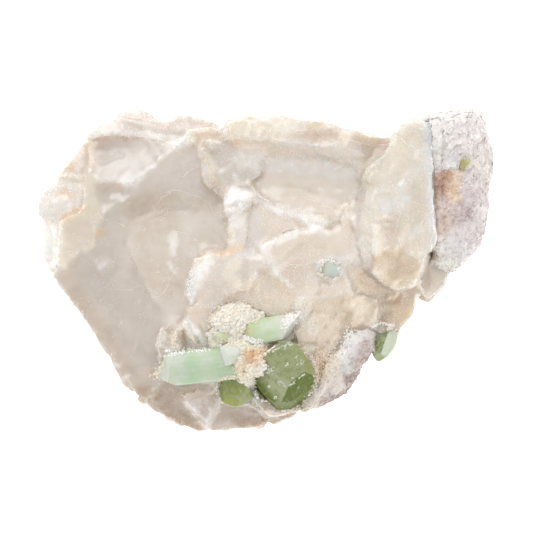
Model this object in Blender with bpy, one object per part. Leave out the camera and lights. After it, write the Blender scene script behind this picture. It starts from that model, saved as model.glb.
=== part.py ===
"""Green tourmaline crystals grown in a lump of quartz, with lilac lepidolite on its right-hand end.

The specimen lies on its flat broken back. X runs along its length, Y across it and Z up, towards the
face that shows the crystals. Outlines are drawn looking straight down on that face, in millimetres.
A split plane is written (x, y, height, dip, towards): it passes through that point and falls away by
dip degrees towards that direction, which is counted from +X round to +Y. A dip over 90 overhangs.
"""

import math

import bmesh
import bpy
from mathutils import Matrix, Vector, noise

MM = 0.001
CONTACT_GAP = 0.3
CEILING = 48.0
CELLAR = -3.0
SPLIT_TOLERANCE = 1e-7
SHARPEST_TURN = 0.5
MINERAL_INDEX = 1.55

# The lump's widest line all the way round, with the height at which each corner lies.
WIDEST_LINE = [
    (-45.4, 15.3, 20), (-44.8, 17.5, 20), (-43.6, 18.7, 20.5), (-41.8, 19.5, 21), (-41.0, 22.7, 21),
    (-39.4, 25.9, 22), (-37.6, 27.5, 22), (-35.4, 28.7, 23), (-32.8, 30.1, 23), (-29.4, 30.2, 22.5),
    (-29.0, 31.6, 21), (-27.2, 32.2, 21), (-24.8, 32.2, 21), (-22.4, 31.5, 22), (-21.6, 30.7, 23),
    (-18.4, 30.5, 24), (-17.6, 31.6, 22), (-15.6, 31.7, 22), (-13.6, 30.6, 23), (-9.8, 30.0, 24),
    (-8.0, 28.1, 25), (-7.4, 29.5, 26), (-4.6, 30.8, 27), (3.2, 31.1, 27), (10.6, 30.1, 27),
    (17.4, 29.0, 26), (19.2, 28.0, 25), (24.6, 27.1, 24), (25.8, 27.3, 25), (27.0, 28.8, 26),
    (31.2, 30.6, 27), (32.8, 29.7, 26), (33.8, 30.5, 24), (40.4, 31.0, 22), (43.0, 28.4, 21),
    (44.4, 24.3, 20), (44.6, 20.2, 20), (43.6, 15.3, 19), (43.0, 9.9, 19), (41.6, 6.1, 18),
    (38.6, 1.5, 17), (37.4, -0.1, 16), (36.6, -2.3, 16), (33.8, -5.7, 16), (32.8, -5.5, 17),
    (31.0, -3.9, 18), (30.8, -6.1, 19), (29.8, -8.9, 19), (28.0, -10.7, 19), (26.6, -12.4, 18),
    (25.8, -14.4, 17), (22.8, -16.2, 17), (18.6, -20.3, 16), (16.0, -24.3, 15), (12.0, -26.9, 14),
    (7.0, -27.7, 14), (6.4, -29.1, 14), (2.0, -31.5, 13), (1.0, -30.7, 13), (-1.4, -31.4, 13),
    (-6.0, -31.5, 14), (-8.4, -32.3, 15), (-10.6, -32.2, 15), (-14.0, -32.2, 16), (-17.8, -30.5, 18),
    (-22.6, -27.9, 20), (-25.0, -25.5, 21), (-27.8, -22.1, 22), (-30.4, -18.3, 23), (-33.0, -14.7, 23),
    (-34.2, -12.1, 23), (-36.2, -9.1, 23), (-39.0, -5.5, 22), (-41.4, -2.7, 21), (-43.0, -0.1, 20),
    (-43.0, 1.1, 20), (-44.2, 2.5, 20), (-44.6, 5.9, 20), (-45.2, 11.5, 20),
]
FOOT_CENTRE = (-2.0, 1.0)
FOOT_SHARE = 0.70
CROWN_SHARE = 0.97

# Breaks on the underside and flanks, below the widest line.
FLANK_SPLITS = [
    (-36.5, 8, 12, 126, 178), (-31, 20, 13, 121, 135), (-18, 23.5, 11, 133, 98), (4, 24, 12, 122, 84),
    (24, 21.5, 12, 129, 66), (35, 10, 10, 131, 5), (27, -6, 9, 127, 320), (12, -19.5, 8, 124, 300),
    (-6, -24.5, 8, 131, 272), (-22, -20, 10, 123, 238), (-31, -8, 12, 129, 212),
]

# Each lump of quartz: its name, its outline from above, the planes that split it, and the shallow
# shell-shaped hollows in it as (x, y, depth, radius of the curve).
QUARTZ_LUMPS = [
    ("window", [
        (-15.6, 26.1), (-12.8, 26.5), (-12.2, 18.1), (-7.4, 14.3), (-5, 3.3), (-7, -5.7), (-8.6, -13.7),
        (-17, -16.5), (-20, -21), (-25, -28), (-47, -6), (-40.8, 0.7), (-36.2, 4.7), (-33, 8.5),
        (-31.4, 11.9), (-29.4, 13.7), (-26.2, 16.9), (-23, 20.3), (-21, 22.7),
    ], [(-20, 0.3, 30, 7, 225), (-31.2, -15.6, 27.7, 52, 216)], []),
    ("scallop", [
        (-34.8, 26.3), (-29, 27.1), (-23.4, 26.7), (-20, 25.6), (-17, 25.9), (-15.6, 26.3), (-21, 22.7),
        (-23, 20.3), (-25.4, 18.1), (-27.8, 17.3), (-33, 18.1), (-34.6, 20.1),
    ], [(-21.4, 21.7, 32, 24, 129)], [(-27, 22, 1.0, 34)]),
    ("top_strip", [
        (-35, 26.7), (-33.4, 30.8), (-29, 30.5), (-24, 29.5), (-16.4, 27.5), (-16.6, 26.1), (-20, 25.7),
        (-23.4, 26.9), (-29, 27.3),
    ], [(-24, 27.2, 29.3, 34, 85)], []),
    ("back_lump", [
        (-29.8, 29.7), (-29.6, 32), (-27.8, 33), (-24.8, 33), (-22.2, 32.2), (-21.4, 30.5), (-23.6, 29.3),
    ], [(-26, 31, 25.5, 20, 80)], []),
    ("back_ledge", [
        (-23.8, 29.1), (-21.6, 31.2), (-18.2, 31), (-17.8, 32.2), (-15.4, 32.4), (-11.8, 31), (-9.6, 30.8),
        (-7.6, 28.1), (-10.6, 28.1), (-15, 27.9), (-16.4, 27.3), (-20, 28.5),
    ], [(-16, 29, 27.3, 14, 85)], []),
    ("notch_ledge", [
        (-15.2, 28.1), (-10.6, 28.3), (-7.6, 26.9), (-7.4, 25.9), (-11.4, 25.7), (-12.8, 24.5), (-15.6, 25.7),
    ], [(-12, 26.5, 33.0, 8, 60)], []),
    ("left_terrace", [
        (-35.8, 19.9), (-34.6, 20.3), (-32.8, 18.3), (-26.6, 17.1), (-29.4, 13.7), (-31.4, 11.9), (-33, 8.5),
        (-36.2, 4.7), (-40.4, 0.3), (-41, 1.1), (-40.8, 10.1), (-37.4, 11.7), (-35.8, 12.9),
    ], [(-31, 12, 30.2, 12, 175)], [(-30.6, 15.9, 0.8, 6.5), (-37, 7.5, 0.5, 16)]),
    ("upper_rim", [
        (-42.4, 19.5), (-42, 21.9), (-41.2, 24.3), (-40, 26.5), (-38.2, 28.2), (-35.4, 29.4), (-34.8, 27.1),
        (-35, 24.3), (-34.4, 20.3), (-35.8, 19.5),
    ], [(-36, 24, 27, 34, 160), (-38, 25.6, 25.6, 48, 128)], []),
    ("middle_rim", [
        (-46, 15.1), (-45.4, 18), (-43.8, 19.4), (-41.4, 19.9), (-35.8, 19.5), (-35.6, 12.7), (-37.4, 11.5),
        (-40.8, 10.1), (-46, 10.5),
    ], [(-38, 16, 26.8, 20, 185), (-42.5, 17, 25.4, 45, 150)], []),
    ("lower_rim", [
        (-46, 10.9), (-40.6, 10.5), (-40.8, 6.3), (-40.2, 0.3), (-43.4, 0.3), (-45, 2.5), (-45.4, 5.9),
    ], [(-41, 6, 25.6, 38, 180)], []),
    ("bottom_slope", [
        (-25.4, -27.5), (-23, -22.8), (-19.4, -20), (-16.6, -21), (-10, -21.9), (-8.2, -26.1), (0, -27.9),
        (7, -27), (7, -30), (2, -33), (-14, -33.5), (-23, -29.5),
    ], [(-13, -22.7, 27.4, 30, 268), (-21, -25, 26.6, 46, 235)], []),
    ("feather", [
        (-16.2, -24.7), (-13, -23.7), (-9.2, -25.7), (-10.4, -28.8), (-11.6, -30.6), (-13.8, -28.7),
    ], [(-12.5, -25.5, 26.9, 27, 282), (-10.6, -27.5, 25.9, 50, 10)], []),
    ("crystal_terrace", [
        (-21, -15.5), (-10, -13.4), (-0.6, -8.1), (7, -9.3), (10.2, -14.7), (10.6, -23.3), (7, -27.3),
        (0, -27.9), (-8.2, -26.1), (-10, -21.9), (-19.4, -21),
    ], [(-5, -19.7, 28.6, 12, 285)], []),
    ("crystal_seat", [
        (-3, -21.7), (-1, -14.7), (10.6, -14.7), (11, -23.3), (7.4, -27.9), (0.6, -28.7),
    ], [(4, -24.7, 30.4, 12, 290), (4, -27, 29.8, 52, 280)], []),
    ("upper_column", [
        (-12.8, 24.5), (-10.4, 24.3), (-10, 21.5), (-8.6, 19.7), (-6.4, 17.1), (-7.2, 15.3), (-7.6, 14.1),
        (-12.2, 17.7),
    ], [(-10, 20, 34.3, 10, 215), (-11.6, 20, 34.3, 42, 190)], []),
    ("upper_block", [
        (-11.4, 25.9), (-7, 25.7), (-0.4, 23.7), (-0.4, 19.1), (-3.4, 16.9), (-4.2, 15.5), (-6.6, 16.7),
        (-9.4, 19.9), (-10.4, 24.3),
    ], [(-5, 20, 34.9, 6, 245)], [(-3.6, 20.6, 0.5, 9)]),
    ("long_ledge", [
        (-8, 29.1), (-6.8, 30.8), (-4.6, 31.8), (3.2, 32.4), (17.4, 30), (19.4, 28.9), (25, 27.9),
        (24, 24.1), (21.8, 22.3), (13, 22.5), (-0.6, 24.1), (-7.8, 25.9),
    ], [(7, 25.4, 37.2, 17, 88), (7, 25.0, 36.9, 40, 264), (7, 30.2, 35.4, 55, 82), (21, 25, 36, 14, 8)],
        [(12, 27.4, 0.7, 22)]),
    ("pane", [
        (-0.6, 24.1), (13, 22.9), (21.8, 22.7), (20.2, 20.3), (19.8, 17.3), (19, 14.3), (16, 11.1),
        (13.4, 7.3), (11.8, 9.5), (7, 11.7), (3, 12.5), (-0.6, 14.3), (-3.8, 16.7), (-0.6, 19.3),
    ], [(9, 18, 33.6, 3, 80), (17.5, 13, 33.2, 18, 335)], [(8, 18.2, 1.1, 58)]),
    ("frosted_lip", [
        (-4.4, 16.7), (-3, 17.5), (-0.4, 14.9), (3.2, 13), (7, 12.2), (13, 10.3), (11.6, 8.3), (7, 9.7),
        (3, 11.1), (-0.6, 12.5), (-3.2, 13.9),
    ], [(4, 12, 35.2, 22, 245)], []),
    ("knob", [
        (-7.6, 14.7), (-6, 16.5), (-3.2, 16.1), (-2.4, 13.5), (-3.6, 11.3), (-3.6, 5.1), (-5, 2.9),
        (-6.8, 3.9), (-7.2, 9.3),
    ], [(-5, 13, 36.3, 12, 262), (-6.3, 10, 36, 40, 186), (-5, 14.6, 36.2, 35, 95)], []),
    ("middle_facets", [
        (-3.6, 13.7), (-0.6, 12.7), (3.2, 11.3), (7.4, 10.7), (12.2, 8.3), (5.2, 7.3), (1, 5.7), (-3.8, 4.5),
    ], [(2, 9, 34.4, 7, 300), (-1, 10, 34.6, 20, 215)], [(5, 9.4, 0.4, 8)]),
    ("cream_block", [
        (5, 7.7), (13.4, 8.1), (16.2, 11.5), (19.2, 14.7), (19.8, 1.9), (17, 1.5), (14, 1.9), (11, 1.9),
        (7, 1.1), (2.2, 0.3), (-0.6, 4.9), (1, 6.1),
    ], [(9, 5, 35.4, 9, 275), (16.5, 8, 35.5, 14, 20)], [(8, 5, 0.6, 26)]),
    ("light_block", [
        (-13.8, 2.5), (-10, 3.7), (-5, 3.7), (-0.6, 5.1), (-0.2, 1.9), (-3.4, -3.9), (-7.6, -4.5),
        (-8.6, -6.9), (-12, -6.9), (-15, -6.9), (-15.8, -5.3), (-15.6, -2.5),
    ], [(-8, -0.5, 34.4, 9, 240), (-13.2, 0, 33.8, 36, 190), (-9, 2.6, 34.8, 30, 95)], [(-6, 0.6, 0.7, 14)]),
    ("lower_block", [
        (-15, -6.5), (-8.6, -6.5), (-5.8, -7.7), (-8.6, -11.7), (-10.4, -14.1), (-13.4, -14.3), (-15, -9.7),
    ], [(-11, -8, 33.1, 20, 250), (-9, -9, 33, 24, 330)], []),
    ("cream_fin", [(-19.4, -15.7), (-17.8, -10.7), (-16.8, -10.1), (-16.4, -15.3)],
        [(-17.3, -13, 32.2, 30, 190)], []),
    ("white_fin", [(-16.2, -9.7), (-14.6, -9.3), (-12.2, -12.5), (-13.4, -14.5), (-15, -12.7)],
        [(-14.4, -11.5, 33, 24, 235)], []),
    ("clear_fin", [(-21.4, -14.7), (-20.6, -11.3), (-19.4, -10.7), (-19, -14.7)],
        [(-20.2, -13, 31.2, 20, 200)], []),
    ("central_facets", [
        (-0.6, 4.9), (2.2, 0.7), (7.2, -5.7), (5.6, -8.3), (-0.6, -8.5), (-3.8, -5.7), (-3.8, -2.9),
        (-2.2, 1.9),
    ], [(1, -2, 34.1, 13, 255), (4, -2, 34.1, 16, 20)], [(1.8, -4, 0.9, 6)]),
    ("low_gusset", [
        (-8.6, -4.5), (-3.4, -3.7), (-3.6, -5.7), (-0.6, -8.5), (-3, -9.7), (-5.8, -7.7),
    ], [(-5, -6.5, 32.3, 15, 270)], []),
    ("sugary_slope", [(1.8, 0.7), (7, 1.5), (16, 2.1), (17.4, -4.1), (7, -6.1)],
        [(9, -2, 34.2, 12, 285)], [(11, -2.4, 0.5, 10)]),
    ("warm_slope", [
        (5.8, -8.1), (7.2, -5.5), (17.4, -3.9), (22.4, -5.7), (23, -10.7), (22, -16.5), (17, -21.5),
        (12, -26.5), (9.4, -25.5), (9.4, -18.7), (6.8, -14.7),
    ], [(14, -9, 32.2, 17, 300), (17, -15, 30, 34, 310)], [(13, -9.5, 0.8, 18)]),
    ("golden_slope", [
        (16.2, 1.1), (19.8, 2.1), (23, 0.5), (30.6, -0.5), (31.8, -3.7), (31.6, -6.5), (30.6, -9.8),
        (27.4, -13), (22.6, -12), (21.8, -6.1), (17, -5.3),
    ], [(24, -4, 30.4, 16, 315), (27.5, -7.5, 28.6, 38, 330)], [(23.5, -4.6, 1.2, 12)]),
    ("right_crystal", [
        (25.6, 27.3), (27, 29.3), (29.4, 30.2), (31.2, 31.2), (32.8, 30.2), (33.2, 24.3), (33.8, 14.3),
        (34, 6.3), (30.4, -1.5), (28.6, -2.7), (26.4, -3.3), (24.4, -2.8), (22.6, -1.7), (20.8, 0),
        (19.6, 1.5), (19.2, 6.3), (19.2, 14.3), (20.2, 16.9), (23, 22.1), (24.6, 25.3),
    ], [(25, 10, 38.6, 5, 190), (28.6, 10, 38.4, 15, 352), (27, 20, 38.1, 15, 82), (27, 3.4, 38.1, 22, 272),
        (20.6, 8, 37.9, 46, 182)], []),
    ("cream_sliver", [(23.2, 22.5), (22.4, 19.9), (20.6, 16.7), (19.2, 17.9), (20, 19.9)],
        [(21, 19, 37.6, 16, 225)], []),
    ("ledge_end", [
        (13, 22.7), (21.8, 22.7), (24.2, 24.3), (25, 27.4), (26.2, 27.4), (24.8, 23.9), (22.6, 21.5),
        (20.2, 17.5), (19, 18.3), (17.4, 21.1),
    ], [(21, 22, 35.4, 9, 235)], []),
    ("clear_point", [
        (29.4, 1.9), (34.2, 2.1), (37.4, 1.5), (38, -0.1), (37, -2.7), (33.9, -6.2), (32.5, -6),
        (30.6, -3.5), (29.6, -1.9),
    ], [(33.5, -1, 25.8, 26, 205), (33.5, -1, 25.8, 24, 340), (33.2, -3.6, 25, 42, 280)], []),
]
HEART_TOP = 22.0
HEART_SHARE = 0.93
LUMP_OVERLAP = 0.12
HOLLOW_ROUNDNESS = 4

# Granular masses are drawn in to these shares of their widest line at the foot and the crown. Each has
# its grain as (cell of the surface mesh, height of the grain, width of a grain, seed), in millimetres.
CRUST_FOOT_SHARE = 0.62
CRUST_CROWN_SHARE = 0.97
LEPIDOLITE_GRAIN = (1.5, 0.9, 4.0, 1)
BAND_GRAIN = (1.35, 0.7, 3.2, 7)
ALBITE_GRAIN = (1.1, 0.5, 2.4, 5)
FINE_GRAIN_SHARE = 0.5
FINE_GRAIN_WIDTH = 1 / 3.1
CAVITY_ROUNDNESS = 3
NODULE_ROUNDNESS = 2

# Lepidolite, the lilac mica mass at the right-hand end, and what it leaves of the quartz there.
LEPIDOLITE_LINE = [
    (31, 30.9, 23), (33.8, 31, 24), (37, 31.6, 23), (40.4, 32.3, 22), (42.9, 31.3, 21), (44.2, 29.6, 21),
    (44, 27.4, 20), (45.1, 24.3, 20), (46.1, 21.9, 20), (46, 19.9, 20), (44.6, 18.6, 19),
    (45, 15.3, 19), (44.8, 12.4, 19), (44.3, 9.6, 19), (43.2, 5.8, 18), (41.8, 3.8, 18),
    (38.8, 1, 17), (34, -0.2, 17), (31, -0.2, 17),
]
LEPIDOLITE_SEAM = [
    (33.1, 36), (33.5, 24.3), (34.1, 14.3), (34.3, 6.3), (35, 1.9), (37.4, 1.2), (50, 1.2), (50, 36),
]
LEPIDOLITE_FLOOR = 8.0
LEPIDOLITE_FOOT = (33, 14)
LEPIDOLITE_SPLITS = [
    (37, 26, 34.8, 15, 25), (40, 24, 33.6, 40, 8), (38, 12, 32.2, 20, 352), (41.2, 12, 30.6, 42, 358),
    (38, 5, 30.6, 34, 300),
]
LEPIDOLITE_CAVITY = [
    (34.9, 15.9, 33.2, 2.3), (35.2, 17.6, 33.6, 1.7), (36.6, 18.8, 33.4, 1.3), (34.8, 13.6, 32.8, 1.4),
]

# The sugary band of mica and feldspar along the lower right-hand edge.
BAND_LINE = [
    (22, -12.6, 19), (22.6, -14.4, 18), (21.4, -16.2, 17), (20.2, -17.7, 17), (18.6, -20.1, 16),
    (18.4, -21.7, 16), (17, -23.7, 15), (16, -24.5, 15), (14, -25.3, 15), (12, -26.9, 14),
    (9, -27.2, 14), (7, -27.8, 14), (6, -26, 15), (9, -20, 16), (14, -13.5, 18), (18, -10.5, 20),
]
BAND_SEAM = [
    (23.2, -12.3), (20.6, -11.9), (18.2, -12.7), (15.6, -16.1), (13, -18.9), (10.8, -23.3), (7.8, -26.6),
    (6.9, -31), (14, -34), (32, -24), (25, -12.3),
]
BAND_FLOOR = 9.0
BAND_FOOT = (10, -12)
BAND_SPLITS = [(15, -18.4, 29.8, 24, 308), (17, -20.6, 28, 50, 312)]

# The cream albite round the feet of the crystals, with its nodules as (x, y, height, radius).
ALBITE_SEAM = [
    (-10.6, -11.4), (-8.8, -7.9), (-5.2, -6.8), (-1.6, -8), (1.2, -9.6), (1.6, -14.5), (1, -20.1),
    (-1.6, -22.2), (-4.8, -21.8), (-6.4, -18.7), (-9.8, -15.4),
]
ALBITE_FLOOR = 28.6
ALBITE_SPLITS = [(-4, -14, 33.5, 8, 285), (-7, -9.5, 33.2, 22, 160), (-3, -19, 32.6, 24, 262)]
ALBITE_NODULES = [
    (-0.7, -18.3, 34.6, 2.3), (-2.4, -15.6, 33.9, 2.0), (-4.3, -17.4, 33.2, 2.2), (-3.4, -20.3, 31.6, 2.1),
    (-6.4, -8.6, 33.2, 2.1), (-8.0, -10.2, 32.6, 2.0), (-4.6, -10.6, 33.4, 2.2), (-1.6, -12.8, 33.4, 2.1),
]

# Tourmalines: name, foot and tip of the long axis, width, flatness, roll and the planes that end them.
# The planes are in each crystal's own frame, with its foot at the origin and its long axis along +Z.
MINT, GREEN, OLIVE, PALE = "tourmaline_mint", "tourmaline_green", "tourmaline_olive", "tourmaline_pale"
TOURMALINES = [
    ("tourmaline_mint_prism", MINT, (-5.0, -17.7, 31.3), (-21.2, -19.4, 30.7), 6.6, 0.94, 14,
        [(0, 0, 15.9, 33, 75), (0, 0, 16.1, 36, 165), (2.0, -0.5, 15.8, 64, 345)]),
    ("tourmaline_upper_prism", MINT, (7.0, -10.6, 33.0), (-5.2, -12.5, 33.9), 5.0, 0.88, 40,
        [(0, 0, 12.0, 40, 60), (0, 0, 11.9, 44, 140), (0, 0, 12.1, 50, 300), (0, 0, 1.5, 135, 350)]),
    ("tourmaline_green_prism", GREEN, (4.4, -22.3, 27.0), (3.5, -19.3, 37.4), 11.4, 0.95, 8,
        [(0, 0, 11.1, 4, 270), (0.4, 0.1, 11.1, 38, 12), (-0.7, 2.9, 11.1, 64, 103), (-4, 1.5, 11.1, 56, 160)]),
    ("tourmaline_olive_crystal", OLIVE, (-4.1, -21.9, 24.4), (-6.4, -23.9, 30.4), 7.0, 0.9, 25,
        [(0, 0, 6.3, 14, 90), (2, 0, 6.2, 40, 10), (-2, -1, 6.2, 38, 200)]),
    ("tourmaline_edge_crystal", OLIVE, (24.8, -14.5, 19.0), (23.6, -14.0, 28.6), 7.3, 0.64, 4,
        [(0, 0, 9.4, 24, 270), (0, 1.0, 9.4, 46, 90), (3, 0, 9.2, 40, 0)]),
    ("tourmaline_small_spray", PALE, (-3.4, -22.9, 28.2), (-0.2, -26.6, 28.2), 2.9, 0.6, 60,
        [(0, 0, 4.5, 30, 90)]),
    ("tourmaline_mint_chip", PALE, (14.4, 0.4, 34.0), (10.9, 1.2, 34.6), 2.9, 0.8, 10,
        [(0, 0, 3.0, 48, 60), (0, 0, 3.2, 40, 200)]),
    ("tourmaline_yellow_chip", OLIVE, (-6.4, -12.1, 32.8), (-10.6, -13.4, 32.7), 2.9, 0.8, 0,
        [(0, 0, 3.9, 45, 60), (0, 0, 3.9, 45, 200)]),
    ("tourmaline_pale_chunk", PALE, (-5.2, -15.5, 33.4), (-9.0, -17.1, 34.5), 4.0, 0.8, 30,
        [(0, 0, 3.6, 30, 60), (0, 0, 3.6, 40, 220)]),
    ("tourmaline_sliver", OLIVE, (38.9, 20.6, 31.9), (40.3, 22.3, 33.0), 1.3, 0.7, 0, [(0, 0, 2.1, 30, 60)]),
]
SECTION_SIDES = 24
TRIANGULAR_BULGE = 0.06
HEXAGONAL_BULGE = 0.02
RIDGE_HEIGHT = 0.022
RIDGE_COUNT = 9
RIDGE_TURN = 0.7


def new_object(name, mesh_builder, material=None, helper=False):
    """Turns a bmesh into an object, and hides it from the build if it is only a helper."""
    data = bpy.data.meshes.new(name)
    bmesh.ops.recalc_face_normals(mesh_builder, faces=mesh_builder.faces)
    mesh_builder.to_mesh(data)
    mesh_builder.free()
    made = bpy.data.objects.new(name, data)
    bpy.context.scene.collection.objects.link(made)
    if material:
        data.materials.append(material)
    if helper:
        made.hide_render = True
        made.display_type = "WIRE"
    return made


def plane_normal(dip, towards):
    slope, heading = math.radians(dip), math.radians(towards)
    return Vector((math.sin(slope) * math.cos(heading), math.sin(slope) * math.sin(heading), math.cos(slope)))


def split(lump, planes):
    """Breaks away what lies outside each plane, and closes the break with a flat face."""
    for x, y, height, dip, towards in planes:
        everything = lump.verts[:] + lump.edges[:] + lump.faces[:]
        cut = bmesh.ops.bisect_plane(
            lump, geom=everything, dist=SPLIT_TOLERANCE, plane_co=Vector((x, y, height)) * MM,
            plane_no=plane_normal(dip, towards), clear_outer=True,
        )
        rim = [part for part in cut["geom_cut"] if isinstance(part, bmesh.types.BMEdge)]
        if rim:
            bmesh.ops.contextual_create(lump, geom=rim)


def column(outline, low, high):
    """A bmesh prism that stands on the outline from one height to another."""
    lump = bmesh.new()
    floor = lump.faces.new([lump.verts.new(Vector((x, y, low)) * MM) for x, y in outline])
    raised = bmesh.ops.extrude_face_region(lump, geom=[floor])
    corners = [part for part in raised["geom"] if isinstance(part, bmesh.types.BMVert)]
    bmesh.ops.translate(lump, verts=corners, vec=Vector((0, 0, high - low)) * MM)
    bmesh.ops.recalc_face_normals(lump, faces=lump.faces)
    return lump


def grown(outline, margin):
    """The outline moved outwards by a margin, whichever way round it is drawn."""
    count = len(outline)
    area = sum(a[0] * b[1] - b[0] * a[1] for a, b in zip(outline, outline[1:] + outline[:1]))
    side = 1 if area > 0 else -1
    moved = []
    for index, corner in enumerate(outline):
        before = (Vector(corner) - Vector(outline[index - 1])).normalized()
        after = (Vector(outline[(index + 1) % count]) - Vector(corner)).normalized()
        outward = Vector((before.y + after.y, -before.x - after.x)) * side
        reach = margin / max(SHARPEST_TURN, outward.normalized().dot(Vector((after.y, -after.x)) * side))
        moved.append(tuple(Vector(corner) + outward.normalized() * reach))
    return moved


def ringed_lump(line, foot_height, foot_centre, foot_share, crown_share, planes):
    """A closed lump through its widest line, drawn in towards its foot and a little towards its crown."""
    lump = bmesh.new()
    centre = Vector(foot_centre)
    rings = []
    for share, height in ((foot_share, foot_height), (1.0, None), (crown_share, CEILING)):
        ring = []
        for x, y, widest in line:
            plan = centre + (Vector((x, y)) - centre) * share
            ring.append(lump.verts.new(Vector((plan.x, plan.y, widest if height is None else height)) * MM))
        rings.append(ring)
    for lower, upper in zip(rings, rings[1:]):
        for index in range(len(line)):
            after = (index + 1) % len(line)
            lump.faces.new((lower[index], lower[after], upper[after], upper[index]))
    lump.faces.new(rings[0])
    lump.faces.new(rings[-1])
    bmesh.ops.triangulate(lump, faces=[face for face in lump.faces if len(face.verts) == 4])
    bmesh.ops.recalc_face_normals(lump, faces=lump.faces)
    split(lump, planes)
    return lump


def boolean(target, operation, others, own_faces=False):
    """Adds one exact Boolean of the target with an object or a whole collection of helpers."""
    step = target.modifiers.new(operation.lower(), "BOOLEAN")
    step.operation = operation
    step.solver = "EXACT"
    step.use_self = own_faces
    if isinstance(others, bpy.types.Collection):
        step.operand_type = "COLLECTION"
        step.collection = others
    else:
        step.object = others
    return step


def settled(target):
    """Replaces the object's mesh by what its modifiers make of it."""
    graph = bpy.context.evaluated_depsgraph_get()
    finished = bpy.data.meshes.new_from_object(target.evaluated_get(graph))
    target.modifiers.clear()
    target.data = finished
    return target


def height_on(plane, x, y):
    """The height of a split plane above a point of the plan."""
    at_x, at_y, height, dip, towards = plane
    heading = math.radians(towards)
    run = (x - at_x) * math.cos(heading) + (y - at_y) * math.sin(heading)
    return height - math.tan(math.radians(dip)) * run


def quartz_lump(name, outline, planes, hollows):
    """One lump of quartz, split along its planes and hollowed where it broke like a shell."""
    body = column(grown(outline, LUMP_OVERLAP), CELLAR, CEILING)
    split(body, planes)
    made = new_object("lump_" + name, body, helper=True)
    for number, (x, y, depth, radius) in enumerate(hollows):
        surface = Vector((x, y, min(height_on(plane, x, y) for plane in planes)))
        ball = bmesh.new()
        bmesh.ops.create_icosphere(ball, subdivisions=HOLLOW_ROUNDNESS, radius=radius * MM)
        normal = plane_normal(planes[0][3], planes[0][4])
        bmesh.ops.translate(ball, verts=ball.verts, vec=(surface + normal * (radius - depth)) * MM)
        boolean(made, "DIFFERENCE", new_object(f"hollow_{name}_{number}", ball, helper=True))
    return settled(made)


def helper_collection(name, members):
    group = bpy.data.collections.new(name)
    bpy.context.scene.collection.children.link(group)
    for member in members:
        for home in member.users_collection:
            home.objects.unlink(member)
        group.objects.link(member)
    return group


def crystal_section(radius, flatness, ridged):
    """The rounded three-sided section of a tourmaline, with fine ridges along its length if asked."""
    points = []
    for side in range(SECTION_SIDES):
        angle = 2 * math.pi * side / SECTION_SIDES
        reach = radius * (1 + TRIANGULAR_BULGE * math.cos(3 * angle) + HEXAGONAL_BULGE * math.cos(6 * angle))
        if ridged:
            reach *= 1 + RIDGE_HEIGHT * math.sin(RIDGE_COUNT * angle + RIDGE_TURN)
        points.append((reach * math.cos(angle), flatness * reach * math.sin(angle)))
    return points


def crystal_matrix(foot, tip, roll):
    axis = (Vector(tip) - Vector(foot)).normalized()
    turn = axis.to_track_quat("Z", "Y").to_matrix().to_4x4()
    return Matrix.Translation(Vector(foot) * MM) @ turn @ Matrix.Rotation(math.radians(roll), 4, "Z")


def crystal(name, material, foot, tip, width, flatness, roll, ends, margin=0.0):
    """A striated prism along its own Z. With a margin it is the smooth pocket that the prism sits in."""
    length = (Vector(tip) - Vector(foot)).length
    section = crystal_section(width / 2 + margin, flatness, ridged=margin == 0)
    body = column(section, -margin, length + margin)
    lifted = [(x, y, z + margin / math.cos(math.radians(min(dip, 180 - dip))) * (1 if dip < 90 else -1), dip, way)
              for x, y, z, dip, way in ends]
    split(body, lifted)
    made = new_object(name, body, material, helper=margin > 0)
    made.matrix_world = crystal_matrix(foot, tip, roll)
    return made


def even_mesh(target, cell):
    step = target.modifiers.new("even_mesh", "REMESH")
    step.mode = "VOXEL"
    step.voxel_size = cell * MM
    return settled(target)


def roughened(target, cell, swell, wave, seed):
    """Remeshes a lump evenly and swells it by layered noise into a granular surface."""
    even_mesh(target, cell)
    shape = bmesh.new()
    shape.from_mesh(target.data)
    shape.normal_update()
    offset = Vector((seed, 2.3 * seed, -1.7 * seed))
    for vertex in shape.verts:
        place = vertex.co / (wave * MM) + offset
        height = noise.fractal(place, 0.9, 2.1, 3) + FINE_GRAIN_SHARE * noise.noise(place / FINE_GRAIN_WIDTH)
        vertex.co += vertex.normal * height * swell * MM
    shape.to_mesh(target.data)
    shape.free()
    return even_mesh(target, cell)


def stone(name, colour, roughness, transmission=0.0):
    material = bpy.data.materials.new(name)
    material.use_nodes = True
    shader = material.node_tree.nodes["Principled BSDF"]
    shader.inputs["Base Color"].default_value = (*colour, 1)
    shader.inputs["Roughness"].default_value = roughness
    shader.inputs["Transmission Weight"].default_value = transmission
    shader.inputs["IOR"].default_value = MINERAL_INDEX
    return material


def make_quartz(material, hollows):
    lumps = [quartz_lump(*record) for record in QUARTZ_LUMPS]
    plan = [(x * HEART_SHARE, y * HEART_SHARE) for x, y, _ in WIDEST_LINE]
    quartz = new_object("quartz_matrix", column(plan, CELLAR, HEART_TOP), material)
    boolean(quartz, "UNION", helper_collection("quartz_lumps", lumps), own_faces=True)
    outside = ringed_lump(WIDEST_LINE, 0, FOOT_CENTRE, FOOT_SHARE, CROWN_SHARE, FLANK_SPLITS)
    boolean(quartz, "INTERSECT", new_object("outside_of_quartz", outside, helper=True))
    boolean(quartz, "DIFFERENCE", hollows, own_faces=True)
    return settled(quartz)


def make_seam(name, outline, floor, margin):
    body = column(grown(outline, margin) if margin else outline, floor - margin, CEILING + margin)
    return new_object(name, body, helper=True)


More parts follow.
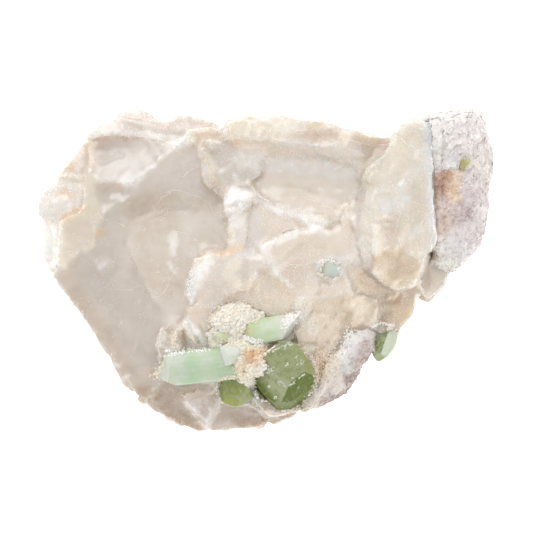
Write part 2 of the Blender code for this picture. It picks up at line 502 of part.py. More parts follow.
def make_crust(name, material, line, foot, floor, planes, seam, grain, cavity=()):
    """A granular mass that fills its notch in the quartz up to flat seams and bulges outside it."""
    body = ringed_lump(line, floor, foot, CRUST_FOOT_SHARE, CRUST_CROWN_SHARE, planes)
    made = new_object(name, body, material)
    for number, (x, y, height, radius) in enumerate(cavity):
        ball = bmesh.new()
        bmesh.ops.create_icosphere(ball, subdivisions=CAVITY_ROUNDNESS, radius=radius * MM)
        bmesh.ops.translate(ball, verts=ball.verts, vec=Vector((x, y, height)) * MM)
        boolean(made, "DIFFERENCE", new_object(f"{name}_cavity_{number}", ball, helper=True))
    settled(made)
    roughened(made, *grain)
    boolean(made, "INTERSECT", make_seam(name + "_seam", seam, floor, 0))
    return made


def make_albite(material, pockets):
    body = column(ALBITE_SEAM, ALBITE_FLOOR, CEILING)
    split(body, ALBITE_SPLITS)
    albite = new_object("albite_cluster", body, material)
    nodules = []
    for number, (x, y, height, radius) in enumerate(ALBITE_NODULES):
        ball = bmesh.new()
        bmesh.ops.create_icosphere(ball, subdivisions=NODULE_ROUNDNESS, radius=radius * MM)
        bmesh.ops.translate(ball, verts=ball.verts, vec=Vector((x, y, height)) * MM)
        nodules.append(new_object(f"nodule_{number}", ball, helper=True))
    boolean(albite, "UNION", helper_collection("nodules", nodules), own_faces=True)
    settled(albite)
    roughened(albite, *ALBITE_GRAIN)
    boolean(albite, "INTERSECT", make_seam("albite_seam", ALBITE_SEAM, ALBITE_FLOOR, 0))
    boolean(albite, "DIFFERENCE", pockets)
    return settled(albite)


def centre_on_foot(pieces):
    """Moves the specimen so that its origin is under the middle of its box, on the resting plane."""
    bpy.context.view_layer.update()
    corners = [piece.matrix_world @ vertex.co for piece in pieces for vertex in piece.data.vertices]
    low = [min(corner[axis] for corner in corners) for axis in range(3)]
    high = [max(corner[axis] for corner in corners) for axis in range(3)]
    shift = Vector((-(low[0] + high[0]) / 2, -(low[1] + high[1]) / 2, -low[2]))
    for piece in pieces:
        piece.matrix_world = Matrix.Translation(shift) @ piece.matrix_world
    return shift


def main():
    for old in list(bpy.data.objects):
        bpy.data.objects.remove(old)
    finishes = {
        "quartz": stone("quartz", (0.72, 0.66, 0.58), 0.3, 0.2),
        "lepidolite": stone("lepidolite", (0.70, 0.63, 0.64), 0.6),
        "albite": stone("albite", (0.82, 0.76, 0.64), 0.7),
        MINT: stone(MINT, (0.45, 0.68, 0.42), 0.15, 0.5),
        GREEN: stone(GREEN, (0.20, 0.30, 0.08), 0.12, 0.5),
        OLIVE: stone(OLIVE, (0.38, 0.42, 0.12), 0.2, 0.4),
        PALE: stone(PALE, (0.62, 0.72, 0.52), 0.25, 0.4),
    }
    # Where two crystals meet, the later one in the list gives way to the earlier one.
    pieces = []
    crystal_pockets = helper_collection("crystal_pockets", [])
    for name, finish, *shape in TOURMALINES:
        piece = crystal(name, finishes[finish], *shape)
        pocket = crystal(name + "_pocket", None, *shape, margin=CONTACT_GAP)
        boolean(piece, "DIFFERENCE", crystal_pockets)
        pieces.append(settled(piece))
        crystal_pockets.objects.link(pocket)

    notches = [
        make_seam("lepidolite_notch", LEPIDOLITE_SEAM, LEPIDOLITE_FLOOR, CONTACT_GAP),
        make_seam("band_notch", BAND_SEAM, BAND_FLOOR, CONTACT_GAP),
        make_seam("albite_notch", ALBITE_SEAM, ALBITE_FLOOR, CONTACT_GAP),
    ]
    all_hollows = helper_collection("all_hollows", notches)
    for pocket in crystal_pockets.objects:
        all_hollows.objects.link(pocket)
    quartz = make_quartz(finishes["quartz"], all_hollows)
    lepidolite = make_crust(
        "lepidolite_crust", finishes["lepidolite"], LEPIDOLITE_LINE, LEPIDOLITE_FOOT, LEPIDOLITE_FLOOR,
        LEPIDOLITE_SPLITS, LEPIDOLITE_SEAM, LEPIDOLITE_GRAIN, LEPIDOLITE_CAVITY,
    )
    boolean(lepidolite, "DIFFERENCE", crystal_pockets)
    settled(lepidolite)
    band = make_crust(
        "lower_edge_band", finishes["lepidolite"], BAND_LINE, BAND_FOOT, BAND_FLOOR, BAND_SPLITS,
        BAND_SEAM, BAND_GRAIN,
    )
    boolean(band, "DIFFERENCE", crystal_pockets)
    settled(band)
    albite = make_albite(finishes["albite"], crystal_pockets)
    shift = centre_on_foot(pieces + [quartz, lepidolite, band, albite])
    print("moved by", [round(value / MM, 2) for value in shift], "mm to centre it on its foot")


main()
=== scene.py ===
# %% [markdown]
# Green tourmaline in quartz. This lesson dresses a packed set of plain solids as the real specimen: a lump
# of smoky, milky quartz with green crystals in its lower half and a lilac crust of mica on its right end.
# The frame is loaded first and never moved. Everything that follows is fitted to it, in metres.

# %% Load the frame
import math
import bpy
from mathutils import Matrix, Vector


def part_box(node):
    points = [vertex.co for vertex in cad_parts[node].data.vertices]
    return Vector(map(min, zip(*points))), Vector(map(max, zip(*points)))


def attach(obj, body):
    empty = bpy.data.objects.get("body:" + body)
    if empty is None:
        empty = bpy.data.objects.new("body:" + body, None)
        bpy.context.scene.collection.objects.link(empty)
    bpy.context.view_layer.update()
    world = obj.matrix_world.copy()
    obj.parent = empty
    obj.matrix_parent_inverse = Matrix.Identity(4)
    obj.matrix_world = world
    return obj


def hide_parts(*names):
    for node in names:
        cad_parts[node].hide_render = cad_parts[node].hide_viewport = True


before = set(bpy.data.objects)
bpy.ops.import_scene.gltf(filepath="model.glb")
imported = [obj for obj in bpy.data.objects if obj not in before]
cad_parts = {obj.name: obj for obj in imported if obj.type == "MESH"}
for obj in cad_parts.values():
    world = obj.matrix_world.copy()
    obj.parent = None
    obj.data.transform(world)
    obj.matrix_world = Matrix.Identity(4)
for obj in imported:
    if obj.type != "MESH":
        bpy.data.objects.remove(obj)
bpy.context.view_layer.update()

from types import SimpleNamespace

import bmesh
import bpy
import numpy as np
from mathutils import Matrix, Quaternion, Vector, kdtree, noise
from mathutils.bvhtree import BVHTree

MM = 0.001
print("solids:", ", ".join(sorted(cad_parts)))

# %% [markdown]
# The photograph looks straight down on a specimen that lies on its back, so its picture plane is the
# plan of the model. Places that were read off the photograph are kept as pixels, and one small function
# turns them into metres on the plan.

# %% Photograph to plan
PHOTO_SIDE = 533
MM_PER_PIXEL = 0.2
PLAN_ZERO_PIXEL = (265.0, 271.5)
QUARTZ_LEFT_MM = -45.4
QUARTZ_NEAR_MM = -32.3
quartz_low = Vector(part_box("quartz_matrix")[0])
plan_shift = Vector((quartz_low.x - QUARTZ_LEFT_MM * MM, quartz_low.y - QUARTZ_NEAR_MM * MM))


def plan(px, py):
    """The place on the plan, in metres, of a pixel of the photograph."""
    across = (px - PLAN_ZERO_PIXEL[0]) * MM_PER_PIXEL * MM
    along = (PLAN_ZERO_PIXEL[1] - py) * MM_PER_PIXEL * MM
    return Vector((across, along)) + plan_shift


print("plan moved by", [round(value / MM, 2) for value in plan_shift], "mm")

# %% [markdown]
# A long lens from well above keeps the outline square to the frame, as in a catalogue picture. The camera
# hangs over the middle of the photograph, at the distance where a pixel is 0.2 mm at half the stone's height.

# %% Camera
LENS_MM = 200.0
SENSOR_MM = 36.0
FOCUS_HEIGHT = 28 * MM
camera = bpy.data.objects.new("camera", bpy.data.cameras.new("camera"))
bpy.context.scene.collection.objects.link(camera)
bpy.context.scene.camera = camera
camera.data.lens = LENS_MM
camera.data.sensor_width = SENSOR_MM
camera.data.clip_end = 20
view_width = PHOTO_SIDE * MM_PER_PIXEL * MM
centre = plan(PHOTO_SIDE / 2, PHOTO_SIDE / 2)
camera.location = (centre.x, centre.y, FOCUS_HEIGHT + view_width * LENS_MM / SENSOR_MM)
print("camera", round(camera.location.z, 3), "m above the floor")


def photo_pixels(places):
    """The pixel of the photograph on which each place of an array falls."""
    eye = np.array(camera.location)
    nearer = (eye[2] - FOCUS_HEIGHT) / (eye[2] - places[:, 2])
    across = eye[0] + (places[:, 0] - eye[0]) * nearer - plan_shift.x
    along = eye[1] + (places[:, 1] - eye[1]) * nearer - plan_shift.y
    pixel = MM_PER_PIXEL * MM
    return np.stack([PLAN_ZERO_PIXEL[0] + across / pixel, PLAN_ZERO_PIXEL[1] - along / pixel], axis=1)

# %% [markdown]
# The picture was taken on white, with soft light from above and a little stronger from the upper left.
# Broad area lights give soft shading on the breaks and long highlights on the crystals. The floor glows
# a little, so that it stays white under the stone, as a light table does.

# %% Stage and light
scene = bpy.context.scene
scene.view_settings.view_transform = "Standard"


def mesh_object(name, builder):
    """Turns a bmesh into a linked object that sits at the origin."""
    data = bpy.data.meshes.new(name)
    builder.to_mesh(data)
    builder.free()
    made = bpy.data.objects.new(name, data)
    scene.collection.objects.link(made)
    return made


FLOOR_SIDE = 3.0
FLOOR_FINISH = {
    "Base Color": (0.9, 0.9, 0.9, 1), "Roughness": 0.9,
    "Emission Color": (1, 1, 1, 1), "Emission Strength": 0.8,
}
floor_builder = bmesh.new()
bmesh.ops.create_grid(floor_builder, x_segments=1, y_segments=1, size=FLOOR_SIDE / 2)
floor = mesh_object("floor", floor_builder)
floor_finish = bpy.data.materials.new("pale_floor")
floor_finish.use_nodes = True
for socket, value in FLOOR_FINISH.items():
    floor_finish.node_tree.nodes["Principled BSDF"].inputs[socket].default_value = value
floor.data.materials.append(floor_finish)

LIGHTS = [
    ("key", (-0.28, 0.42, 0.46), 0.35, 1.6),
    ("fill", (0.35, -0.42, 0.42), 0.5, 0.8),
    ("low_back", (0.05, 0.55, 0.16), 0.3, 0.5),
]
LIGHTS_AIM = Vector((0, 0, 0.02))
SKY_STRENGTH = 0.7
for light_name, place, side, watts in LIGHTS:
    lamp = bpy.data.objects.new(light_name, bpy.data.lights.new(light_name, "AREA"))
    scene.collection.objects.link(lamp)
    lamp.data.size = side
    lamp.data.energy = watts
    lamp.location = place
    lamp.rotation_euler = (LIGHTS_AIM - Vector(place)).to_track_quat("-Z", "Y").to_euler()
    lamp.visible_camera = False
world = bpy.data.worlds.new("studio")
scene.world = world
world.use_nodes = True
sky = world.node_tree.nodes["Background"]
sky.inputs["Color"].default_value = (1, 1, 1, 1)
sky.inputs["Strength"].default_value = SKY_STRENGTH
print("lights", len(LIGHTS))

# %% [markdown]
# Every mineral here starts as a copy of its plain solid, because the solid is right in its large forms and
# only lacks its surface. The copy is welded, cut into an even fine mesh, and then moved point by point.
# These helpers do the welding and read the fine mesh into arrays, where whole surfaces are quick to change.

# %% Helpers for fine meshes
def welded_copy(node, name):
    """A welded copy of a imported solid, as an object of its own."""
    builder = bmesh.new()
    builder.from_mesh(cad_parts[node].data)
    bmesh.ops.remove_doubles(builder, verts=builder.verts, dist=1e-7)
    return mesh_object(name, builder)


def fine_mesh(target, cell):
    """Cuts an object into an even fine mesh, by a voxel remesh."""
    step = target.modifiers.new("fine_mesh", "REMESH")
    step.mode = "VOXEL"
    step.voxel_size = cell
    graph = bpy.context.evaluated_depsgraph_get()
    finished = bpy.data.meshes.new_from_object(target.evaluated_get(graph))
    target.modifiers.clear()
    target.data = finished


class Skin:
    """Points, outward directions and links of a fine mesh, as arrays."""

    def __init__(self, target):
        self.target = target
        mesh = target.data
        count = len(mesh.vertices)
        self.places = np.empty(count * 3)
        mesh.vertices.foreach_get("co", self.places)
        self.places = self.places.reshape(-1, 3)
        links = np.empty(len(mesh.edges) * 2, dtype=np.int64)
        mesh.edges.foreach_get("vertices", links)
        self.links = links.reshape(-1, 2)
        self.valence = np.maximum(1, np.bincount(links, minlength=count))
        self.read_normals()

    def read_normals(self):
        normals = np.empty(len(self.target.data.vertices) * 3)
        self.target.data.vertices.foreach_get("normal", normals)
        self.normals = normals.reshape(-1, 3)

    def averaged(self, values, rounds, share=0.5):
        """Values blended with their neighbours' a few times over."""
        one, two = self.links[:, 0], self.links[:, 1]
        columns = values.reshape(len(values), -1).copy()
        for _ in range(rounds):
            for column in range(columns.shape[1]):
                current = columns[:, column]
                total = np.bincount(one, weights=current[two], minlength=len(values))
                total += np.bincount(two, weights=current[one], minlength=len(values))
                columns[:, column] = current * (1 - share) + share * total / self.valence
        return columns.reshape(values.shape)

    def ridges(self, rounds=8):
        """How far each point stands out of its smoothed surroundings, in metres."""
        return ((self.places - self.averaged(self.places, rounds)) * self.normals).sum(axis=1)

    def push(self, distance):
        """Moves each point along its outward direction."""
        self.move(self.normals * distance[:, None])

    def move(self, steps):
        self.places = self.places + steps
        self.target.data.vertices.foreach_set("co", self.places.ravel())
        self.target.data.update()
        self.read_normals()

    def keep(self, name, values):
        keep_values(self.target.data, name, values)


def keep_values(mesh, name, values):
    """Stores one number, or one colour, for each point of a mesh."""
    if values.ndim == 1:
        layer = mesh.attributes.new(name, "FLOAT", "POINT")
        layer.data.foreach_set("value", values.astype(np.float32))
    else:
        layer = mesh.attributes.new(name, "FLOAT_COLOR", "POINT")
        rgba = np.ones((len(values), 4), dtype=np.float32)
        rgba[:, :3] = values
        layer.data.foreach_set("color", rgba.ravel())


def field(places, scale, octaves, seed):
    """Layered noise for every point, about -1 to 1."""
    shift = Vector((seed * 7.31, seed * -3.77, seed * 5.13))
    return np.array([noise.fractal(Vector(p) / scale + shift, 1.0, 2.1, octaves) for p in places])


def drift(places, scale, seeds):
    """Layered noise for every point, one for each axis."""
    return np.stack([field(places, scale, 3, seed) for seed in seeds], axis=1)


def ramp(values, low, high):
    """0 below low, 1 above high, and a smooth rise between."""
    t = np.clip((values - low) / (high - low), 0, 1)
    return t * t * (3 - 2 * t)


def paint(red, green, blue):
    """A colour given as 0 to 255, in the linear values that shaders use."""
    return tuple(((c / 255 + 0.055) / 1.055) ** 2.4 if c > 10 else c / 3295 for c in (red, green, blue))


def painted(table):
    """The same table of names with its levels turned into colours."""
    return {name: paint(*levels) for name, levels in table.items()}


# %% [markdown]
# Quartz has no cleavage, so it breaks like thick glass, in hollow shells with ripples, and where the breaks
# meet, the edges splinter and go white. A voxel remesh rounds every edge by a fraction of a millimetre,
# as handling does, and gives enough points for the ripples and splinters. The mesh also learns how near it
# is to the other minerals, because there it stays whole and closes up against them.

# %% Quartz: fine mesh
QUARTZ_CELL = 0.436 * MM
NEAR, FAR = 0.35 * MM, 1.5 * MM
FOOT_LOW, FOOT_HIGH = 0.3 * MM, 2.5 * MM
solid_quartz = welded_copy("quartz_matrix", "quartz_guide")
quartz = welded_copy("quartz_matrix", "quartz")
fine_mesh(quartz, QUARTZ_CELL)
quartz_skin = Skin(quartz)


def joined_tree(nodes):
    """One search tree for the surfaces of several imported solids."""
    builder = bmesh.new()
    for node in nodes:
        builder.from_mesh(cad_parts[node].data)
    tree = BVHTree.FromBMesh(builder)
    builder.free()
    return tree


def gap_to(tree, places, limit):
    """How far each place is from a surface, up to a limit."""
    return np.array([tree.find_nearest(Vector(place), limit)[3] or limit for place in places])


guests = joined_tree([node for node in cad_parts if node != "quartz_matrix"])
open_quartz = ramp(gap_to(guests, quartz_skin.places, FAR), NEAR, FAR)
above_foot = ramp(quartz_skin.places[:, 2], FOOT_LOW, FOOT_HIGH)
print("quartz points", len(quartz_skin.places))

# %% [markdown]
# Each break has its own tone, from how clear the stone is behind it. The breaks are found as patches of
# the plain solid whose triangles lie nearly flat to one another. A patch takes the tone and the roughness
# of the nearest of the places below, which were chosen on the photograph.

# %% Quartz: tone of each break
TONES = painted({
    "smoky": (218, 209, 199), "brown": (210, 195, 178), "milky": (222, 214, 206), "white": (245, 241, 236),
    "cream": (235, 226, 212), "lilac": (229, 220, 214), "pane": (239, 230, 219), "fawn": (224, 211, 196),
    "tan": (222, 203, 177), "golden": (226, 206, 178), "crystal": (243, 235, 223), "shadow": (198, 182, 166),
    "flank": (212, 200, 187),
})
# The two breaks along the bottom edge take the tone shadow, which is painted shade.
BREAKS = [
    (165, 270, "smoky", 0.2), (120, 330, "smoky", 0.3), (160, 200, "smoky", 0.3), (130, 160, "milky", 0.3),
    (140, 130, "milky", 0.7), (108, 200, "smoky", 0.3), (86, 240, "cream", 0.3), (70, 150, "brown", 0.8),
    (88, 138, "white", 0.8), (62, 195, "white", 1.0), (50, 240, "white", 0.8), (137, 117, "white", 1.0),
    (195, 121, "lilac", 1.0), (208, 136, "fawn", 0.8), (214, 175, "cream", 1.0), (240, 166, "milky", 0.8),
    (300, 128, "lilac", 0.7), (290, 146, "cream", 0.8), (342, 133, "brown", 0.7), (330, 150, "fawn", 0.8),
    (310, 182, "pane", 0.2), (285, 212, "milky", 1.0), (240, 202, "white", 1.0), (238, 235, "milky", 0.6),
    (278, 225, "fawn", 0.8), (320, 245, "fawn", 0.6), (222, 278, "smoky", 0.6), (208, 322, "fawn", 0.6),
    (266, 284, "brown", 1.0), (310, 285, "fawn", 1.0), (340, 320, "tan", 1.0), (385, 298, "golden", 1.0),
    (395, 210, "crystal", 0.9), (415, 200, "crystal", 0.9), (398, 275, "tan", 0.8), (366, 178, "cream", 0.8),
    (432, 282, "crystal", 0.4), (200, 405, "shadow", 0.7), (215, 365, "fawn", 1.0), (265, 412, "shadow", 1.0),
    (350, 350, "tan", 1.0), (170, 372, "fawn", 0.8),
]
FLAT_WITHIN = math.radians(9)
FLANK_BELOW = 0.15
WANDER_SIZE, WANDER = 2.6 * MM, 0.55 * MM


def break_of_each_face(solid):
    """Numbers a solid's triangles by the break they belong to, and gives each break's middle and tilt."""
    builder = bmesh.new()
    builder.from_mesh(solid.data)
    builder.faces.ensure_lookup_table()
    number = [-1] * len(builder.faces)
    middles = []
    for start in builder.faces:
        if number[start.index] >= 0:
            continue
        number[start.index] = len(middles)
        waiting, area = [start], 0.0
        middle, tilt = Vector(), Vector()
        while waiting:
            face = waiting.pop()
            size = face.calc_area()
            area += size
            middle += face.calc_center_median() * size
            tilt += face.normal * size
            for edge in face.edges:
                for other in edge.link_faces:
                    if number[other.index] < 0 and face.normal.angle(other.normal, 9) < FLAT_WITHIN:
                        number[other.index] = len(middles)
                        waiting.append(other)
        middles.append((middle / max(area, 1e-12), tilt.normalized()))
    builder.free()
    return number, middles


break_number, break_middles = break_of_each_face(solid_quartz)
break_pixels = photo_pixels(np.array([tuple(middle) for middle, _ in break_middles]))
break_looks = []
for (px, py), (_, tilt) in zip(break_pixels, break_middles):
    if tilt.z > FLANK_BELOW:
        break_looks.append(min(BREAKS, key=lambda item: math.hypot(item[0] - px, item[1] - py))[2:])
    else:
        break_looks.append(("flank", 1.0))
guide_builder = bmesh.new()
guide_builder.from_mesh(solid_quartz.data)
solid_tree = BVHTree.FromBMesh(guide_builder)
guide_builder.free()
strayed = quartz_skin.places + drift(quartz_skin.places, WANDER_SIZE, (14, 15, 16)) * WANDER
looks = [break_looks[break_number[solid_tree.find_nearest(Vector(place))[2]]] for place in strayed]
tone = quartz_skin.averaged(np.array([TONES[name] for name, _ in looks]), 2)
broken = quartz_skin.averaged(np.array([rough for _, rough in looks]), 6)
bpy.data.objects.remove(solid_quartz)
print("breaks", len(break_middles))

# %% [markdown]
# Now the relief. A real break is never one clean plane: it is a patchwork of small scars, with ripples in
# rings round the point where a blow landed, and a fine hackle over the rest. Each scar below is a small
# tilted plane round its own point in space. The whole surface is also bent a little sideways, so that no
# edge runs straight, and splinters are taken out of the outward edges.

# %% Quartz: relief
RIPPLES = [
    (172, 240, 6.0, 12.5, 2.3, 0.03), (187, 141, 4.0, 17.0, 2.1, 0.02), (330, 120, 8.0, 18.0, 2.3, 0.04),
    (330, 300, 2.0, 9.0, 1.3, 0.05), (385, 300, 1.0, 8.0, 1.4, 0.06), (400, 140, 6.0, 26.0, 3.1, 0.04),
]
SCARS = [(7.5, 0.055, 71), (3.4, 0.05, 72)]
BEND_SIZE, BEND = 3.4 * MM, 0.24 * MM
CLOSING = 0.45 * MM
HOLLOW_FILL, LOWERED = 0.85, 0.8
EASE_ROUNDS = 110
SHOW_FACE = (12 * MM, 18 * MM)
CHIP_SIZE, CHIP_DEPTH = 1.9 * MM, 0.4 * MM
HACKLE_SIZE, HACKLE = 1.1 * MM, 0.014 * MM
HOLLOW = (0.02 * MM, 0.25 * MM)
CHIPPED_EDGE = (0.06 * MM, 0.2 * MM)
SCAR_DRIFT = 0.8 * MM
RIPPLE_RISE, RIPPLE_FALL = 1.5, 2.5
SOFTENED = [
    (3.2, [(282, 206), (330, 222)]), (2.6, [(238, 205), (238, 245)]), (2.4, [(172, 322), (180, 346)]),
    (2.4, [(196, 322), (204, 340)]), (3.0, [(235, 152), (330, 166)]), (3.0, [(352, 170), (352, 215)]),
    (2.6, [(362, 190), (361, 230), (362, 265)]), (2.6, [(212, 160), (262, 160)]),
]
LEVELLED = [(4.6, [(238, 200), (237, 246)])]


def scars(places, size, slope, seed):
    """A patchwork of small tilted planes: the height of each point above the middle surface, in metres."""
    rng = np.random.default_rng(seed)
    low, high = places.min(axis=0) - size, places.max(axis=0) + size
    hubs = rng.uniform(low, high, (int(np.prod((high - low) / size)), 3))
    leans = rng.normal(size=hubs.shape) * slope
    search = kdtree.KDTree(len(hubs))
    for index, hub in enumerate(hubs):
        search.insert(hub, index)
    search.balance()
    nearest = np.array([search.find(place)[1] for place in places])
    return ((places - hubs[nearest]) * leans[nearest]).sum(axis=1)


def from_line(spots, line):
    """Distance in millimetres of each spot from a line of pixels, with the sign of the side it lies on."""
    corners = [np.array(corner, dtype=float) for corner in line]
    closest = np.full(len(spots), 1e9)
    signed = np.full(len(spots), 1e9)
    for start, end in zip(corners, corners[1:] or corners):
        run = end - start
        share = np.clip((spots - start) @ run / max(run @ run, 1e-9), 0, 1)
        away = spots - start - share[:, None] * run
        distance = np.hypot(away[:, 0], away[:, 1]) * MM_PER_PIXEL
        side = np.where(run[0] * away[:, 1] - run[1] * away[:, 0] < 0, -1.0, 1.0)
        nearer = distance < closest
        closest[nearer] = distance[nearer]
        signed[nearer] = (distance * side)[nearer]
    return closest, signed


def near_lines(lines, fade):
    """For each point, 1 near any of some lines (reach, pixels), 0 out of reach, fading from a share of it."""
    pull = np.zeros(len(quartz_skin.places))
    for reach, line in lines:
        away, _ = from_line(photo_pixels(quartz_skin.places), line)
        pull = np.maximum(pull, 1 - ramp(away, fade * reach, reach))
    return pull


eased = quartz_skin.averaged(quartz_skin.places, EASE_ROUNDS) - quartz_skin.places
hollow = (eased * quartz_skin.normals).sum(axis=1)
slack = np.maximum(near_lines(SOFTENED, 0.4), HOLLOW_FILL * ramp(hollow, *HOLLOW))
level = np.maximum(slack, LOWERED * near_lines(LEVELLED, 0.55))
high = open_quartz * ramp(quartz_skin.places[:, 2], *SHOW_FACE)
quartz_skin.move(eased * np.stack([slack * high, slack * high, level * high], axis=1))
edge = quartz_skin.ridges()
worn_edge = quartz_skin.ridges(6)
bend = drift(quartz_skin.places, BEND_SIZE, (5, 6, 7))
free = open_quartz * above_foot
quartz_skin.move(bend * (BEND * free * (0.35 + 0.65 * broken))[:, None])
pixels = photo_pixels(quartz_skin.places)
ripple = np.zeros(len(edge))
for px, py, inner, outer, wave, height in RIPPLES:
    away = np.hypot(pixels[:, 0] - px, pixels[:, 1] - py) * MM_PER_PIXEL
    ring = ramp(away, inner, inner + RIPPLE_RISE) * (1 - ramp(away, outer - RIPPLE_FALL, outer))
    ripple += ring * np.sin((away + bend[:, 0]) / wave * 2 * math.pi) * height * MM
bent = quartz_skin.places + bend * SCAR_DRIFT
scarred = sum(scars(bent, size * MM, slope, seed) for size, slope, seed in SCARS)
chips = ramp(field(quartz_skin.places, CHIP_SIZE, 3, 1), 0.0, 0.6) * ramp(edge, *CHIPPED_EDGE)
hackle = field(quartz_skin.places, HACKLE_SIZE, 3, 2)
relief = scarred * broken - CHIP_DEPTH * chips * (0.3 + 0.5 * broken) + HACKLE * hackle * (0.4 + broken)
relief += ripple * np.clip(quartz_skin.normals[:, 2], 0, 1)
quartz_skin.push(quartz_skin.averaged(relief, 1) * free + CLOSING * (1 - open_quartz))
print("relief up to", round(float(np.abs(relief).max()) / MM, 2), "mm")
